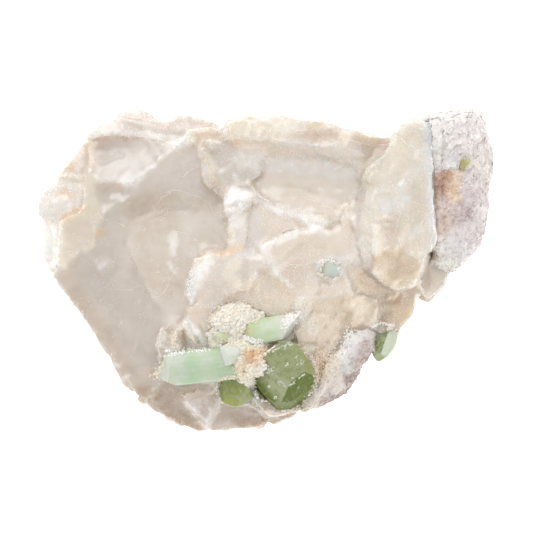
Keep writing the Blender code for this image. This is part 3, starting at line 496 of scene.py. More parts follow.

# %% [markdown]
# Much of what the eye reads on quartz lies in the stone: veils of tiny bubbles, healed cracks, frosted
# lips and iron stains in the hollows. They are laid on as strokes, each a line on the photograph with a
# width and a strength. Broad strokes tint the points. Not every stroke is in the stone: the dark strokes
# along creases and the lower edge are painted shade, and one white stroke on a shaded wall is painted
# light. Hairlines are too fine for the mesh, so the mesh only stores how far each point is from the
# nearest one, and the shader draws the line from that.

# %% Quartz: strokes
# The darkest of these tints is painted shade, laid along creases and the lower edge, where shade falls.
TINTS = {**TONES, **painted({
    "white": (252, 250, 247), "cream": (247, 236, 218), "rust": (238, 211, 178), "brown": (196, 178, 158),
    "painted_shade": (176, 156, 134), "clear": (220, 209, 196), "lilac": (240, 233, 231), "mist": (216, 222, 200),
})}
STROKES = [
    ("brown", 9.0, 0.45, [(208, 215), (215, 240)]), ("brown", 13.0, 0.6, [(150, 213), (166, 268)]),
    ("white", 5.0, 0.8, [(245, 158), (350, 168)]),
    ("white", 3.0, 0.9, [(431, 114), (432, 150), (434, 200), (433, 262)]),
    ("lilac", 9.0, 0.5, [(130, 177), (165, 167), (196, 174)]), ("brown", 4.0, 0.50, [(209, 186), (216, 195)]),
    ("painted_shade", 5.0, 0.35, [(75, 298), (98, 335), (118, 368), (142, 396)]),
    ("painted_shade", 5.0, 0.6, [(142, 396), (168, 411), (200, 428)]), ("brown", 3.0, 0.3, [(108, 190), (124, 191)]),
    ("clear", 7.0, 0.35, [(150, 330), (165, 350)]), ("brown", 10.0, 0.45, [(180, 298), (230, 303)]),
    ("tan", 9.0, 0.65, [(248, 300), (280, 306)]), ("tan", 9.0, 0.4, [(278, 327), (350, 328)]),
    ("brown", 6.0, 0.45, [(292, 198), (330, 203)]), ("brown", 5.0, 0.35, [(396, 222), (403, 238)]),
    ("milky", 5.0, 0.35, [(135, 320), (150, 340)]),
    ("white", 2.4, 0.85, [(126, 180), (134, 183), (141, 176)]),
    ("white", 1.0, 0.7, [(146, 171), (158, 160), (170, 152)]), ("white", 2.8, 0.75, [(176, 145), (190, 139)]),
    ("white", 2.2, 0.7, [(140, 130), (160, 135), (178, 140)]), ("lilac", 3.0, 0.5, [(104, 126), (128, 130)]),
    ("lilac", 3.0, 0.5, [(150, 124), (195, 122)]),
    ("painted_shade", 0.8, 0.5, [(120, 123), (142, 127), (160, 131), (182, 134)]),
    ("white", 1.5, 0.9, [(112, 198), (118, 196), (123, 198)]), ("white", 2.0, 0.75, [(172, 237), (173, 254)]),
    ("white", 0.9, 0.6, [(169, 263), (174, 272)]), ("white", 2.4, 0.35, [(98, 263), (107, 262)]),
    ("white", 1.0, 0.8, [(100, 268), (104, 264)]), ("white", 1.3, 1.0, [(127, 376)]),
    ("white", 0.8, 0.9, [(116, 363), (120, 366)]), ("white", 3.2, 0.85, [(50, 225), (51, 245), (56, 262)]),
    ("cream", 1.2, 0.9, [(60, 222), (61, 240), (62, 255), (64, 268)]),
    ("white", 2.8, 0.7, [(77, 148), (79, 165)]),
    ("cream", 1.0, 0.9, [(89, 137), (90, 150), (92, 160), (90, 169)]),
    ("brown", 1.2, 0.5, [(60, 177), (72, 180), (80, 182)]), ("white", 2.0, 0.6, [(48, 190), (55, 202)]),
    ("rust", 1.8, 0.95, [(66, 217), (76, 211), (85, 208)]),
    ("cream", 1.0, 0.8, [(84, 206), (84, 190), (83, 176)]), ("rust", 1.8, 0.8, [(101, 230), (95, 237)]),
    ("cream", 1.2, 0.85, [(92, 243), (85, 251)]), ("rust", 1.6, 0.5, [(62, 192), (74, 196)]),
    ("clear", 5.0, 0.15, [(72, 235), (76, 262)]), ("lilac", 6.0, 0.7, [(95, 122), (112, 128)]),
    ("rust", 1.4, 1.0, [(222, 255), (233, 250), (240, 247)]),
    ("rust", 1.0, 0.6, [(200, 258), (212, 256), (224, 253)]), ("cream", 1.2, 0.8, [(231, 225), (233, 242)]),
    ("white", 3.0, 0.9, [(236, 197), (240, 207)]), ("white", 2.4, 0.6, [(232, 212), (238, 222)]),
    ("white", 2.6, 0.85, [(208, 262), (198, 271), (192, 286), (189, 296)]),
    ("white", 2.2, 0.5, [(205, 268), (199, 282)]), ("cream", 2.4, 0.6, [(236, 262), (228, 275), (240, 284)]),
    ("brown", 1.6, 0.5, [(247, 262), (244, 276), (246, 284)]), ("white", 2.6, 0.5, [(245, 160), (258, 156)]),
    ("white", 1.2, 0.85, [(234, 173), (237, 181)]), ("cream", 1.2, 0.8, [(211, 168), (217, 168)]),
    ("cream", 1.8, 0.5, [(206, 156), (212, 166), (210, 182)]), ("rust", 1.4, 0.55, [(236, 144), (246, 146)]),
    ("cream", 1.5, 0.95, [(240, 147), (262, 150), (285, 153), (312, 157)]),
    ("white", 4.0, 0.5, [(262, 124), (300, 126)]), ("lilac", 3.0, 0.6, [(330, 124), (350, 128)]),
    ("lilac", 4.0, 0.65, [(292, 148), (352, 150)]), ("brown", 2.4, 0.45, [(376, 140), (384, 145)]),
    ("white", 1.4, 0.5, [(364, 134), (372, 135)]),
    ("white", 1.2, 0.75, [(245, 192), (256, 200), (268, 207), (279, 213)]),
    ("white", 2.2, 0.5, [(282, 208), (298, 212), (314, 217), (327, 220)]),
    ("white", 1.2, 0.75, [(304, 219), (312, 227), (322, 230), (329, 233)]),
    ("painted_shade", 2.2, 0.6, [(333, 219), (331, 226)]),
    ("white", 1.3, 0.75, [(262, 246), (275, 243), (288, 237), (300, 232), (313, 231)]),
    ("white", 2.6, 0.55, [(265, 252), (272, 262), (276, 270)]),
    ("white", 1.0, 0.5, [(276, 270), (284, 279), (292, 286)]), ("tan", 5.0, 0.6, [(262, 286), (278, 290)]),
    ("tan", 4.0, 0.5, [(300, 244), (330, 250)]), ("white", 1.6, 0.9, [(320, 264), (327, 261)]),
    ("white", 1.0, 1.0, [(340, 270)]), ("white", 1.3, 0.6, [(322, 259), (336, 258), (352, 257)]),
    ("cream", 4.5, 0.5, [(306, 295), (308, 318)]), ("white", 2.2, 0.45, [(303, 300), (312, 330)]),
    ("cream", 1.8, 0.95, [(364, 182), (370, 171), (378, 163)]),
    # This white stroke is painted light: it lightens the wall on the block's left side, where shade falls.
    ("white", 3.4, 0.5, [(362, 188), (360, 215), (361, 262)]),
    ("cream", 0.7, 0.7, [(363, 192), (364, 215), (365, 238)]),
    ("white", 3.8, 0.85, [(386, 206), (398, 201), (403, 194)]),
    ("white", 1.0, 0.6, [(377, 190), (390, 186), (402, 184), (412, 180)]),
    ("brown", 4.0, 0.2, [(416, 190), (420, 240)]), ("crystal", 5.0, 0.6, [(424, 236), (426, 262)]),
    ("white", 1.2, 0.75, [(412, 238), (417, 231), (421, 224)]),
    ("cream", 2.0, 0.6, [(376, 270), (386, 280), (398, 286), (412, 281)]), ("white", 1.6, 0.6, [(376, 272)]),
    ("tan", 6.0, 0.4, [(390, 235), (395, 255)]), ("cream", 3.0, 0.45, [(392, 150), (400, 165)]),
    ("brown", 4.0, 0.6, [(382, 302), (385, 310)]), ("brown", 4.0, 0.5, [(405, 300), (414, 296)]),
    ("white", 1.2, 0.5, [(404, 290), (406, 296)]), ("rust", 3.0, 0.4, [(325, 352), (330, 366)]),
    ("rust", 2.4, 0.6, [(318, 362), (330, 372)]), ("cream", 3.5, 0.5, [(355, 300), (368, 318)]),
    ("clear", 5.0, 0.5, [(436, 272), (432, 288)]),
    ("white", 1.6, 0.9, [(187, 403), (193, 411), (201, 420), (207, 425)]),
    ("white", 1.6, 0.9, [(219, 403), (214, 414), (208, 425)]), ("lilac", 5.0, 0.55, [(200, 402), (205, 412)]),
    ("painted_shade", 4.0, 0.6, [(245, 424), (266, 424)]), ("painted_shade", 4.0, 0.4, [(160, 402), (176, 412)]),
    ("cream", 4.0, 0.35, [(215, 392), (190, 396)]), ("lilac", 3.0, 0.5, [(222, 424), (232, 428)]),
    ("cream", 2.2, 0.7, [(172, 350), (178, 336), (179, 328)]),
    ("white", 1.4, 0.9, [(187, 320), (193, 328), (200, 338)]), ("cream", 3.2, 0.8, [(222, 320), (238, 314)]),
    ("white", 1.2, 0.6, [(160, 343), (163, 338)]), ("rust", 2.0, 0.5, [(150, 372), (160, 378)]),
]
HAIRLINES = [
    (0.28, 0.7, [(165, 193), (175, 190), (185, 192), (199, 197), (208, 203), (212, 211)]),
    (0.22, 0.5, [(158, 203), (162, 197), (170, 194)]), (0.25, 0.7, [(184, 176), (192, 170)]),
    (0.20, 0.5, [(160, 212), (166, 208), (168, 214), (161, 217)]), (0.22, 0.5, [(177, 232), (186, 233)]),
    (0.25, 0.6, [(112, 284), (116, 290), (124, 291), (133, 289)]),
    (0.25, 0.7, [(153, 298), (159, 296), (165, 291), (168, 285)]),
    (0.28, 0.8, [(168, 326), (162, 331), (159, 338), (160, 345)]),
    (0.22, 0.5, [(171, 330), (175, 338), (172, 346)]), (0.35, 1.0, [(225, 290), (227, 297), (229, 306)]),
    (0.22, 0.5, [(120, 136), (146, 136), (165, 141), (178, 145)]),
    (0.30, 0.6, [(270, 136), (271, 128), (280, 124)]),
    (0.26, 0.6, [(271, 138), (281, 141), (290, 139), (297, 131), (312, 129)]),
    (0.35, 0.7, [(248, 120), (250, 128), (256, 137)]), (0.3, 0.6, [(228, 123), (230, 133), (233, 141)]),
    (0.22, 0.6, [(402, 139), (410, 145), (417, 149)]),
    (0.3, 0.7, [(419, 262), (424, 255), (430, 246), (433, 236)]),
    (0.3, 0.7, [(421, 224), (425, 217), (431, 213)]), (0.22, 0.5, [(248, 296), (252, 304), (256, 312)]),
    (0.22, 0.5, [(240, 290), (246, 298), (262, 303)]), (0.2, 0.5, [(212, 300), (214, 312)]),
    (0.22, 0.5, [(350, 140), (372, 146), (388, 143)]), (0.22, 0.5, [(300, 196), (318, 202), (334, 210)]),
    (0.25, 0.6, [(282, 262), (300, 266), (318, 262)]), (0.2, 0.5, [(400, 214), (396, 232), (402, 250)]),
    (0.2, 0.4, [(380, 225), (392, 240)]), (0.2, 0.4, [(88, 262), (96, 276), (110, 276)]),
    (0.2, 0.4, [(120, 224), (124, 226)]), (0.25, 0.5, [(296, 330), (304, 338), (309, 350)]),
    (0.22, 0.5, [(340, 290), (352, 304), (356, 318)]),
]
HAIRLINE_REACH = 1.2
RAGGED_SIZE, RAGGED_PIXELS = 1.5 * MM, 4.0
PATCH_SIZE = 1.3 * MM
WORN, SHARP = 0.04 * MM, 0.16 * MM

facing = ramp(quartz_skin.normals[:, 2], -0.1, 0.25) * ramp(quartz_skin.places[:, 2], 12 * MM, 16 * MM)
ragged = drift(quartz_skin.places, RAGGED_SIZE, (17, 18)) * RAGGED_PIXELS
patchy = 0.65 + 0.35 * ramp(field(quartz_skin.places, PATCH_SIZE, 3, 19), -0.35, 0.35)
for tint, width, strength, line in STROKES:
    reach, _ = from_line(pixels + ragged * min(1.0, width / 2), line)
    cover = (1 - ramp(reach, 0.25 * width, 0.62 * width)) * strength * facing * patchy
    tone = tone + (np.array(TINTS[tint]) - tone) * cover[:, None]
hairline = np.full(len(pixels), HAIRLINE_REACH)
hairline_width = np.zeros(len(pixels))
for width, strength, line in HAIRLINES:
    reach, signed = from_line(pixels + ragged * 0.3, line)
    close = reach < np.minimum(np.abs(hairline), HAIRLINE_REACH)
    hairline[close] = signed[close]
    hairline_width[close] = (width * strength * facing)[close]
for layer_name, values in (
    ("tone", tone), ("broken", broken), ("hairline", hairline), ("hairline_width", hairline_width),
    ("frost", quartz_skin.averaged(ramp(worn_edge, WORN, SHARP), 2) * open_quartz),
    ("crevice", ramp(-worn_edge, WORN, SHARP)),
):
    quartz_skin.keep(layer_name, values)
print(len(STROKES), "strokes and", len(HAIRLINES), "hairlines")

# %% [markdown]
# The quartz is part glass and part milk. Its shader sends a fixed share of the light straight through and
# scatters the rest a few millimetres under the surface, so thin places glow. Frost, crevice stain and
# clouds are masks that only change colour and roughness. The wisps are the contour lines of a noise, which
# wander and close on themselves as healed cracks do.

# %% Quartz: material
class Wiring:
    """Short ways to add and wire nodes in a node tree."""

    def __init__(self, tree):
        self.tree = tree

    def add(self, kind, **settings):
        node = self.tree.nodes.new("ShaderNode" + kind)
        for key, value in settings.items():
            setattr(node, key, value)
        return node

    def link(self, output, target):
        self.tree.links.new(output, target)

    def fill(self, socket, value):
        """Gives a socket a number, a colour or the output of another node."""
        if isinstance(value, (int, float)):
            socket.default_value = value
        elif isinstance(value, tuple):
            socket.default_value = (*value, 1)
        else:
            self.link(value, socket)

    def math(self, operation, one, two=0.0):
        node = self.add("Math", operation=operation)
        self.fill(node.inputs[0], one)
        self.fill(node.inputs[1], two)
        return node.outputs["Value"]

    def window(self, value, low, high, start=0.0, end=1.0, kind="SMOOTHSTEP"):
        """Turns the part of a value between two limits into a number from start to end."""
        node = self.add("MapRange", interpolation_type=kind)
        settings = {"Value": value, "From Min": low, "From Max": high, "To Min": start, "To Max": end}
        for socket, setting in settings.items():
            self.fill(node.inputs[socket], setting)
        return node.outputs["Result"]


def grain_group():
    """Layered noise on object coordinates, as a mask, as thin contour lines and as a height for bump."""
    tree = bpy.data.node_groups.new("mineral_grain", "ShaderNodeTree")
    for socket, value in (("Scale", 800.0), ("Low", 0.45), ("High", 0.62), ("Line", 0.012)):
        tree.interface.new_socket(socket, in_out="INPUT", socket_type="NodeSocketFloat").default_value = value
    for socket in ("Mask", "Lines", "Height"):
        tree.interface.new_socket(socket, in_out="OUTPUT", socket_type="NodeSocketFloat")
    given, result = tree.nodes.new("NodeGroupInput").outputs, tree.nodes.new("NodeGroupOutput").inputs
    wiring = Wiring(tree)
    cloud = wiring.add("TexNoise")
    for socket, value in (("Vector", wiring.add("TexCoord").outputs["Object"]), ("Scale", given["Scale"]),
                          ("Detail", 6), ("Roughness", 0.62)):
        wiring.fill(cloud.inputs[socket], value)
    height = cloud.outputs["Fac"]
    off_middle = wiring.math("ABSOLUTE", wiring.math("SUBTRACT", height, 0.5))
    wiring.link(wiring.window(height, given["Low"], given["High"]), result["Mask"])
    wiring.link(wiring.window(off_middle, 0.0, given["Line"], 1.0, 0.0, "LINEAR"), result["Lines"])
    wiring.link(height, result["Height"])
    return tree


GRAIN = grain_group()


class Recipe(Wiring):
    """One material: its masks, its colours in layers, and what feeds its shader."""

    def __init__(self, name):
        self.material = bpy.data.materials.new(name)
        self.material.use_nodes = True
        super().__init__(self.material.node_tree)
        self.shader = self.tree.nodes["Principled BSDF"]

    def attribute(self, name, output="Fac"):
        return self.add("Attribute", attribute_name=name).outputs[output]

    def grain(self, scale, low=0.45, high=0.62, line=0.012):
        """The grain group with its own values; its outputs are read as .mask, .lines and .height."""
        node = self.add("Group", node_tree=GRAIN)
        for socket, value in (("Scale", scale), ("Low", low), ("High", high), ("Line", line)):
            node.inputs[socket].default_value = value
        return SimpleNamespace(**{output.name.lower(): output for output in node.outputs})

    def product(self, *factors):
        result = factors[0]
        for factor in factors[1:]:
            result = self.math("MULTIPLY", result, factor)
        return result

    def most(self, *masks):
        """The largest of some masks."""
        result = masks[0]
        for mask in masks[1:]:
            result = self.math("MAXIMUM", result, mask)
        return result

    def layer(self, below, above, *masks):
        """Lays one colour over another where all the masks are strong."""
        node = self.add("Mix", data_type="RGBA")
        for index, value in ((0, self.product(*masks)), (6, below), (7, above)):
            self.fill(node.inputs[index], value)
        return node.outputs[2]

    def range(self, value, low, high):
        """Turns a mask of 0 to 1 into a number between two limits."""
        return self.window(value, 0.0, 1.0, low, high, "LINEAR")

    def bump(self, height, distance, strength, below=None):
        node = self.add("Bump")
        node.inputs["Distance"].default_value = distance
        node.inputs["Strength"].default_value = strength
        self.link(height, node.inputs["Height"])
        if below is not None:
            self.link(below, node.inputs["Normal"])
        return node.outputs["Normal"]

    def feed(self, radius, **sockets):
        """Sets or links the shader's sockets, and gives the finished material."""
        self.shader.inputs["Subsurface Radius"].default_value = radius
        for name, value in sockets.items():
            self.fill(self.shader.inputs[name.replace("_", " ")], value)
        return self.material


def quartz_finish():
    recipe = Recipe("quartz")
    broken_part = recipe.attribute("broken")
    broad = recipe.grain(150, 0.40, 0.66, 0.010)
    middle = recipe.grain(420, 0.42, 0.62, 0.016)
    fine = recipe.grain(950, 0.40, 0.62)
    tiny = recipe.grain(3200, 0.52, 0.70)
    cloudy = recipe.layer(recipe.attribute("tone", "Color"), paint(240, 235, 230), broad.mask, 0.16)
    shaded = recipe.layer(cloudy, paint(212, 199, 184), middle.mask, 0.07)
    grainy = recipe.layer(shaded, paint(250, 247, 243), fine.mask, recipe.range(broken_part, 0.02, 0.10))
    stained = recipe.layer(grainy, paint(240, 220, 193), recipe.attribute("crevice"), 0.45)
    wisps = recipe.product(broad.lines, middle.mask, 0.07)
    threads = recipe.product(middle.lines, fine.mask, recipe.range(broken_part, 0.0, 0.07))
    off_line = recipe.math("ABSOLUTE", recipe.attribute("hairline"))
    drawn = recipe.window(off_line, 0.0, recipe.attribute("hairline_width"), 1.0, 0.0)
    hairlines = recipe.product(drawn, recipe.range(fine.height, -0.25, 0.6))
    splinters = recipe.product(recipe.attribute("frost"), recipe.range(fine.mask, 0.1, 1.0),
                               recipe.range(middle.mask, 0.1, 1.0), 0.45)
    specks = recipe.product(tiny.mask, recipe.range(broken_part, 0.0, 0.10))
    white = recipe.most(wisps, threads, hairlines, splinters, specks)
    hackled = recipe.bump(fine.height, 0.07 * MM, 0.4)
    return recipe.feed(
        (1.0, 0.82, 0.62), Base_Color=recipe.layer(stained, paint(252, 250, 247), white),
        Roughness=recipe.range(white, 0.26, 0.6), Normal=recipe.bump(tiny.height, 0.05 * MM, 0.25, hackled),
        IOR=1.544, Transmission_Weight=0.28, Subsurface_Weight=0.9, Subsurface_Scale=5.5 * MM)


quartz.data.materials.clear()
quartz.data.materials.append(quartz_finish())
quartz.data.shade_smooth()
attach(quartz, "root")
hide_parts("quartz_matrix")
print("quartz triangles", sum(len(face.vertices) - 2 for face in quartz.data.polygons))

# %% [markdown]
# Lepidolite is a lilac mica. The crust is thousands of small books of it, some lying flat, most on edge,
# which no noise imitates well. The lump under them is a rough fine mesh, and the flakes are one small
# hexagonal plate, repeated by arrays into one joined mesh. The same helper later spreads sugary grains.

# %% Scattering helpers
LIFT, HEADROOM = 0.05 * MM, 1.2 * MM
GRAIN_LEAN = 1.4
ZONE_BEND_SIZE, ZONE_SOFTNESS, ZONE_SHARPNESS = 2.5 * MM, 0.3, 5
quartz_tree = BVHTree.FromObject(quartz, bpy.context.evaluated_depsgraph_get())


def near_quartz(places):
    """1 where a place lies against the quartz, 0 a millimetre and a half away."""
    return 1 - ramp(gap_to(quartz_tree, places, FAR), 0.4 * MM, FAR)


def zone_colours(skin, zones, warp):
    """Soft-edged zones of colour: each point follows the nearest of a few places, bent by noise."""
    bent = photo_pixels(skin.places) + drift(skin.places, ZONE_BEND_SIZE, (11, 12)) * warp / MM_PER_PIXEL
    hubs = np.array([zone[:2] for zone in zones], dtype=float)
    colours = np.array([paint(*zone[2:]) for zone in zones])
    apart = np.linalg.norm(bent[:, None, :] - hubs[None, :, :], axis=2) * MM_PER_PIXEL
    pull = 1 / (apart + ZONE_SOFTNESS) ** ZONE_SHARPNESS
    return (pull[:, :, None] * colours[None]).sum(axis=1) / pull.sum(axis=1)[:, None]


def open_places(target, count, rng):
    """Random places on a mesh, spread by area, that are not pressed against the quartz."""
    mesh = target.data
    mesh.calc_loop_triangles()
    triangles = mesh.loop_triangles
    shares = np.array([triangle.area for triangle in triangles])
    picked = rng.choice(len(shares), size=count * 2, p=shares / shares.sum())
    weights = rng.dirichlet((1, 1, 1), size=count * 2)
    found = []
    for index, weight in zip(picked, weights):
        triangle = triangles[int(index)]
        corners = [mesh.vertices[v].co for v in triangle.vertices]
        place = sum((corner * float(w) for corner, w in zip(corners, weight)), Vector())
        normal = triangle.normal.copy()
        if quartz_tree.ray_cast(place + normal * LIFT, normal, HEADROOM)[0] is None:
            found.append((place, normal, tuple(triangle.vertices)))
        if len(found) == count:
            break
    return found


def spread(name, pattern, placements):
    """Repeats a small closed shape at every placement (matrix, tint) as one joined mesh."""
    shape = np.array([tuple(vertex.co) for vertex in pattern.verts])
    faces = [[vertex.index for vertex in face.verts] for face in pattern.faces]
    pattern.free()
    turns = np.array([[list(row)[:3] for row in matrix.to_3x3()] for matrix, _ in placements])
    moves = np.array([tuple(matrix.translation) for matrix, _ in placements])
    points = (np.einsum("kij,nj->kni", turns, shape) + moves[:, None, :]).reshape(-1, 3)
    starts = range(0, len(points), len(shape))
    all_faces = [[index + start for index in face] for start in starts for face in faces]
    mesh = bpy.data.meshes.new(name)
    mesh.from_pydata(points.tolist(), [], all_faces)
    made = bpy.data.objects.new(name, mesh)
    scene.collection.objects.link(made)
    keep_values(mesh, "tone", np.repeat(np.array([tint for _, tint in placements]), len(shape), axis=0))
    return made


def leaning(place, normal, lean, rng, size):
    """A placement that leans from the surface by an angle, turned at random, with a size for each axis."""
    axis = Vector(rng.normal(size=3)).normalized()
    sideways = normal.cross(axis).normalized()
    tilted = Quaternion(sideways, lean) @ normal
    turn = tilted.to_track_quat("Z", "Y") @ Quaternion((0, 0, 1), float(rng.uniform(0, 2 * math.pi)))
    return Matrix.LocRotScale(place, turn, Vector(size))


def mica_plate():
    """A six-sided plate, one across and a sixth thick, closed all round."""
    plate = bmesh.new()
    bmesh.ops.create_cone(plate, cap_ends=True, segments=6, radius1=0.5, radius2=0.46, depth=0.16)
    return plate


def sugar_grain():
    """A small blunt block, like a grain of feldspar."""
    grain = bmesh.new()
    bmesh.ops.create_cube(grain, size=0.8)
    return grain


def grain_size(rng, sizes, thinnest):
    """A size for each axis of a grain: one random length, and two random shares of it."""
    across = float(rng.uniform(*sizes)) * MM
    return across, across * float(rng.uniform(0.6, 1)), across * float(rng.uniform(thinnest, 1))


def dress(piece, finish, slot, *nodes):
    """Gives a finished piece its material and body; its record slot is not used."""
    piece.data.materials.clear()
    piece.data.materials.append(finish)
    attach(piece, "root")
    if nodes:
        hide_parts(*nodes)
    triangles = sum(len(face.vertices) - 2 for face in piece.data.polygons)
    print(piece.name, triangles, "triangles")


# %% [markdown]
# The crust is nearly white where it is smooth, at the top, and turns to a granular brownish lilac lower
# down, round a dark hollow stained by iron. The band along the lower edge is whiter inside and darker at
# its rim. The zones are a few places with a colour each, and the flakes take the colour under them.

# %% Lepidolite: crust and band
CRUST_ZONES = [
    (445, 135, 238, 234, 229), (470, 125, 240, 234, 232), (470, 150, 240, 232, 228),
    (452, 160, 238, 234, 232), (438, 186, 194, 160, 138), (446, 177, 212, 174, 148),
    (452, 192, 238, 214, 186), (456, 178, 238, 218, 196), (470, 180, 232, 222, 220),
    (464, 212, 204, 187, 186), (470, 196, 222, 208, 208), (440, 222, 224, 204, 192),
    (446, 208, 226, 210, 202), (470, 230, 234, 224, 222), (482, 210, 238, 231, 229),
    (455, 246, 238, 234, 234), (445, 258, 242, 237, 230), (485, 165, 240, 232, 228),
    (436, 150, 238, 234, 230), (438, 166, 238, 234, 232),
]
BAND_ZONES = [
    (352, 342, 236, 232, 230), (345, 362, 236, 232, 228), (335, 375, 238, 229, 222),
    (322, 362, 240, 222, 198), (325, 385, 234, 224, 216), (354, 384, 180, 160, 154),
    (334, 402, 178, 158, 152), (312, 400, 232, 222, 210), (369, 356, 208, 192, 186),
    (305, 408, 222, 210, 194), (362, 364, 202, 184, 178), (330, 350, 236, 218, 198),
]
MICA_SURFACE = {
    "cell": 0.42, "rough": [(2.2, 3, 0.30), (0.9, 2, 0.16)], "swell": 0.30, "grip": 0.65, "warp": 1.2,
    "shade": 0.12, "deep": 0.3,
}
CALM_LEAN, STEEP_LEAN, CALM_SIZE = (0.0, 0.25), (0.1, 1.3), 2.4


def grown_lump(node, name, zones, seed, surface):
    """A rough, fine-meshed copy of a solid, in millimetres, with the colour of each of its points, darkened
    in its hollows as painted shade.
    """
    lump = welded_copy(node, name)
    fine_mesh(lump, surface["cell"] * MM)
    skin = Skin(lump)
    rough = sum(field(skin.places, size * MM, octaves, seed + step) * height
                for step, (size, octaves, height) in enumerate(surface["rough"]))
    skin.push((rough + surface["swell"] + surface["grip"] * near_quartz(skin.places)) * MM)
    # Points sunk below their smoothed surroundings are darkened by a share: painted shade in the hollows.
    hollows = ramp(-skin.ridges(6), 0.02 * MM, surface["deep"] * MM)
    colours = zone_colours(skin, zones, surface["warp"]) * (1 - surface["shade"] * hollows)[:, None]
    skin.keep("tone", colours)
    return lump, colours


def mica_flakes(name, lump, colours, count, seed, sizes, calm_above=None):
    """Small plates on edge; above a line on the plan they lie flat and are larger."""
    rng = np.random.default_rng(seed)
    placements = []
    for place, normal, corners in open_places(lump, count, rng):
        calm = calm_above is not None and place.y > calm_above
        lean = float(rng.uniform(*(CALM_LEAN if calm else STEEP_LEAN)))
        across = float(rng.uniform(*sizes)) * (CALM_SIZE if calm else 1.0) * MM
        thick = float(rng.uniform(0.6, 1.5)) * MM
        shade = float(rng.uniform(0.80, 1.10))
        tint = np.clip(colours[corners[0]] * shade + rng.normal(0, 0.01, 3), 0, 0.96)
        size = (across, across * float(rng.uniform(0.6, 1)), thick)
        placements.append((leaning(place, normal, lean, rng, size), tint))
    return spread(name, mica_plate(), placements)


def grainy_finish(name, roughness, glint, within):
    """Fine-grained mineral: its own tone, whitened by grain, and lit from within by a share."""
    recipe = Recipe(name)
    grain = recipe.grain(1500, 0.42, 0.6)
    patches = recipe.grain(500, 0.45, 0.65)
    lighter = recipe.layer(recipe.attribute("tone", "Color"), paint(250, 248, 246), grain.mask, 0.25)
    return recipe.feed(
        (1.0, 0.93, 0.87), Base_Color=recipe.layer(lighter, paint(222, 208, 198), patches.mask, 0.06),
        Roughness=recipe.range(grain.height, roughness - 0.1, roughness + 0.2),
        Normal=recipe.bump(grain.height, 0.10 * MM, 0.4),
        Subsurface_Weight=within, Subsurface_Scale=1.2 * MM, Specular_IOR_Level=glint)


MICA_ROCK = grainy_finish("lepidolite_rock", 0.65, 0.25, 0.3)
MICA_FLAKE = grainy_finish("lepidolite_flakes", 0.5, 0.3, 0.0)
crust, crust_colours = grown_lump("lepidolite_crust", "lepidolite_lump", CRUST_ZONES, 21, MICA_SURFACE)
flakes = mica_flakes("lepidolite_books", crust, crust_colours, 5200, 31, (0.4, 1.0), plan(440, 168).y)
band, band_colours = grown_lump("lower_edge_band", "edge_band_lump", BAND_ZONES, 41, MICA_SURFACE)
band_flakes = mica_flakes("edge_band_books", band, band_colours, 3200, 51, (0.25, 0.75))
dress(crust, MICA_ROCK, "lepidolite", "lepidolite_crust")
dress(flakes, MICA_FLAKE, "lepidolite")
dress(band, MICA_ROCK, "lepidolite", "lower_edge_band")
dress(band_flakes, MICA_FLAKE, "lepidolite")

# %% [markdown]
# Albite is the cream, sugary feldspar that fills the space between the crystals. It gets the same kind of
# fine rough mesh, and small blunt grains instead of plates. It is swollen a little, because it grew round
# the crystals and grips them.

# %% Albite
ALBITE_ZONES = [
    (245, 345, 241, 237, 219), (258, 340, 241, 237, 225), (240, 355, 241, 237, 227),
    (262, 352, 237, 211, 175), (252, 353, 223, 187, 147), (266, 366, 241, 237, 227),
    (252, 375, 243, 235, 219), (270, 378, 237, 234, 219), (250, 390, 237, 233, 219),
    (228, 325, 241, 237, 227), (236, 312, 241, 237, 227), (244, 366, 235, 219, 195),
]
ALBITE_SURFACE = {
    "cell": 0.35, "rough": [(1.6, 3, 0.42), (0.7, 2, 0.22)], "swell": 0.45, "grip": 0.3, "warp": 0.8,
    "shade": 0.2, "deep": 0.25,
}


def sugar(name, base, colours, count, seed, sizes):
    """Small blunt grains all over a lump, in the colour of the lump under them."""
    rng = np.random.default_rng(seed)
    placements = []
    for place, normal, corners in open_places(base, count, rng):
        size = grain_size(rng, sizes, 0.6)
        tint = np.clip(colours[corners[0]] * float(rng.uniform(0.94, 1.08)), 0, 1)
        placements.append((leaning(place, normal, float(rng.uniform(0, GRAIN_LEAN)), rng, size), tint))
    return spread(name, sugar_grain(), placements)


albite, albite_colours = grown_lump("albite_cluster", "albite_lump", ALBITE_ZONES, 61, ALBITE_SURFACE)
albite_sugar = sugar("albite_grains", albite, albite_colours, 3200, 63, (0.3, 0.9))
ALBITE = grainy_finish("albite", 0.6, 0.3, 0.3)
ALBITE_GRAIN = grainy_finish("albite_grain", 0.6, 0.3, 0.0)
dress(albite, ALBITE, "albite", "albite_cluster")
dress(albite_sugar, ALBITE_GRAIN, "albite")

# %% [markdown]
# A tourmaline is a three-sided prism with bulging sides and fine grooves along its length. Its section is a
# circle whose radius rises and falls with the angle, drawn up along the crystal's own axis, and cut across
# by the planes of its tip. The grooves are real ridges in the mesh. The colour follows the length, so each
# point remembers how far along and how far round the crystal it is.

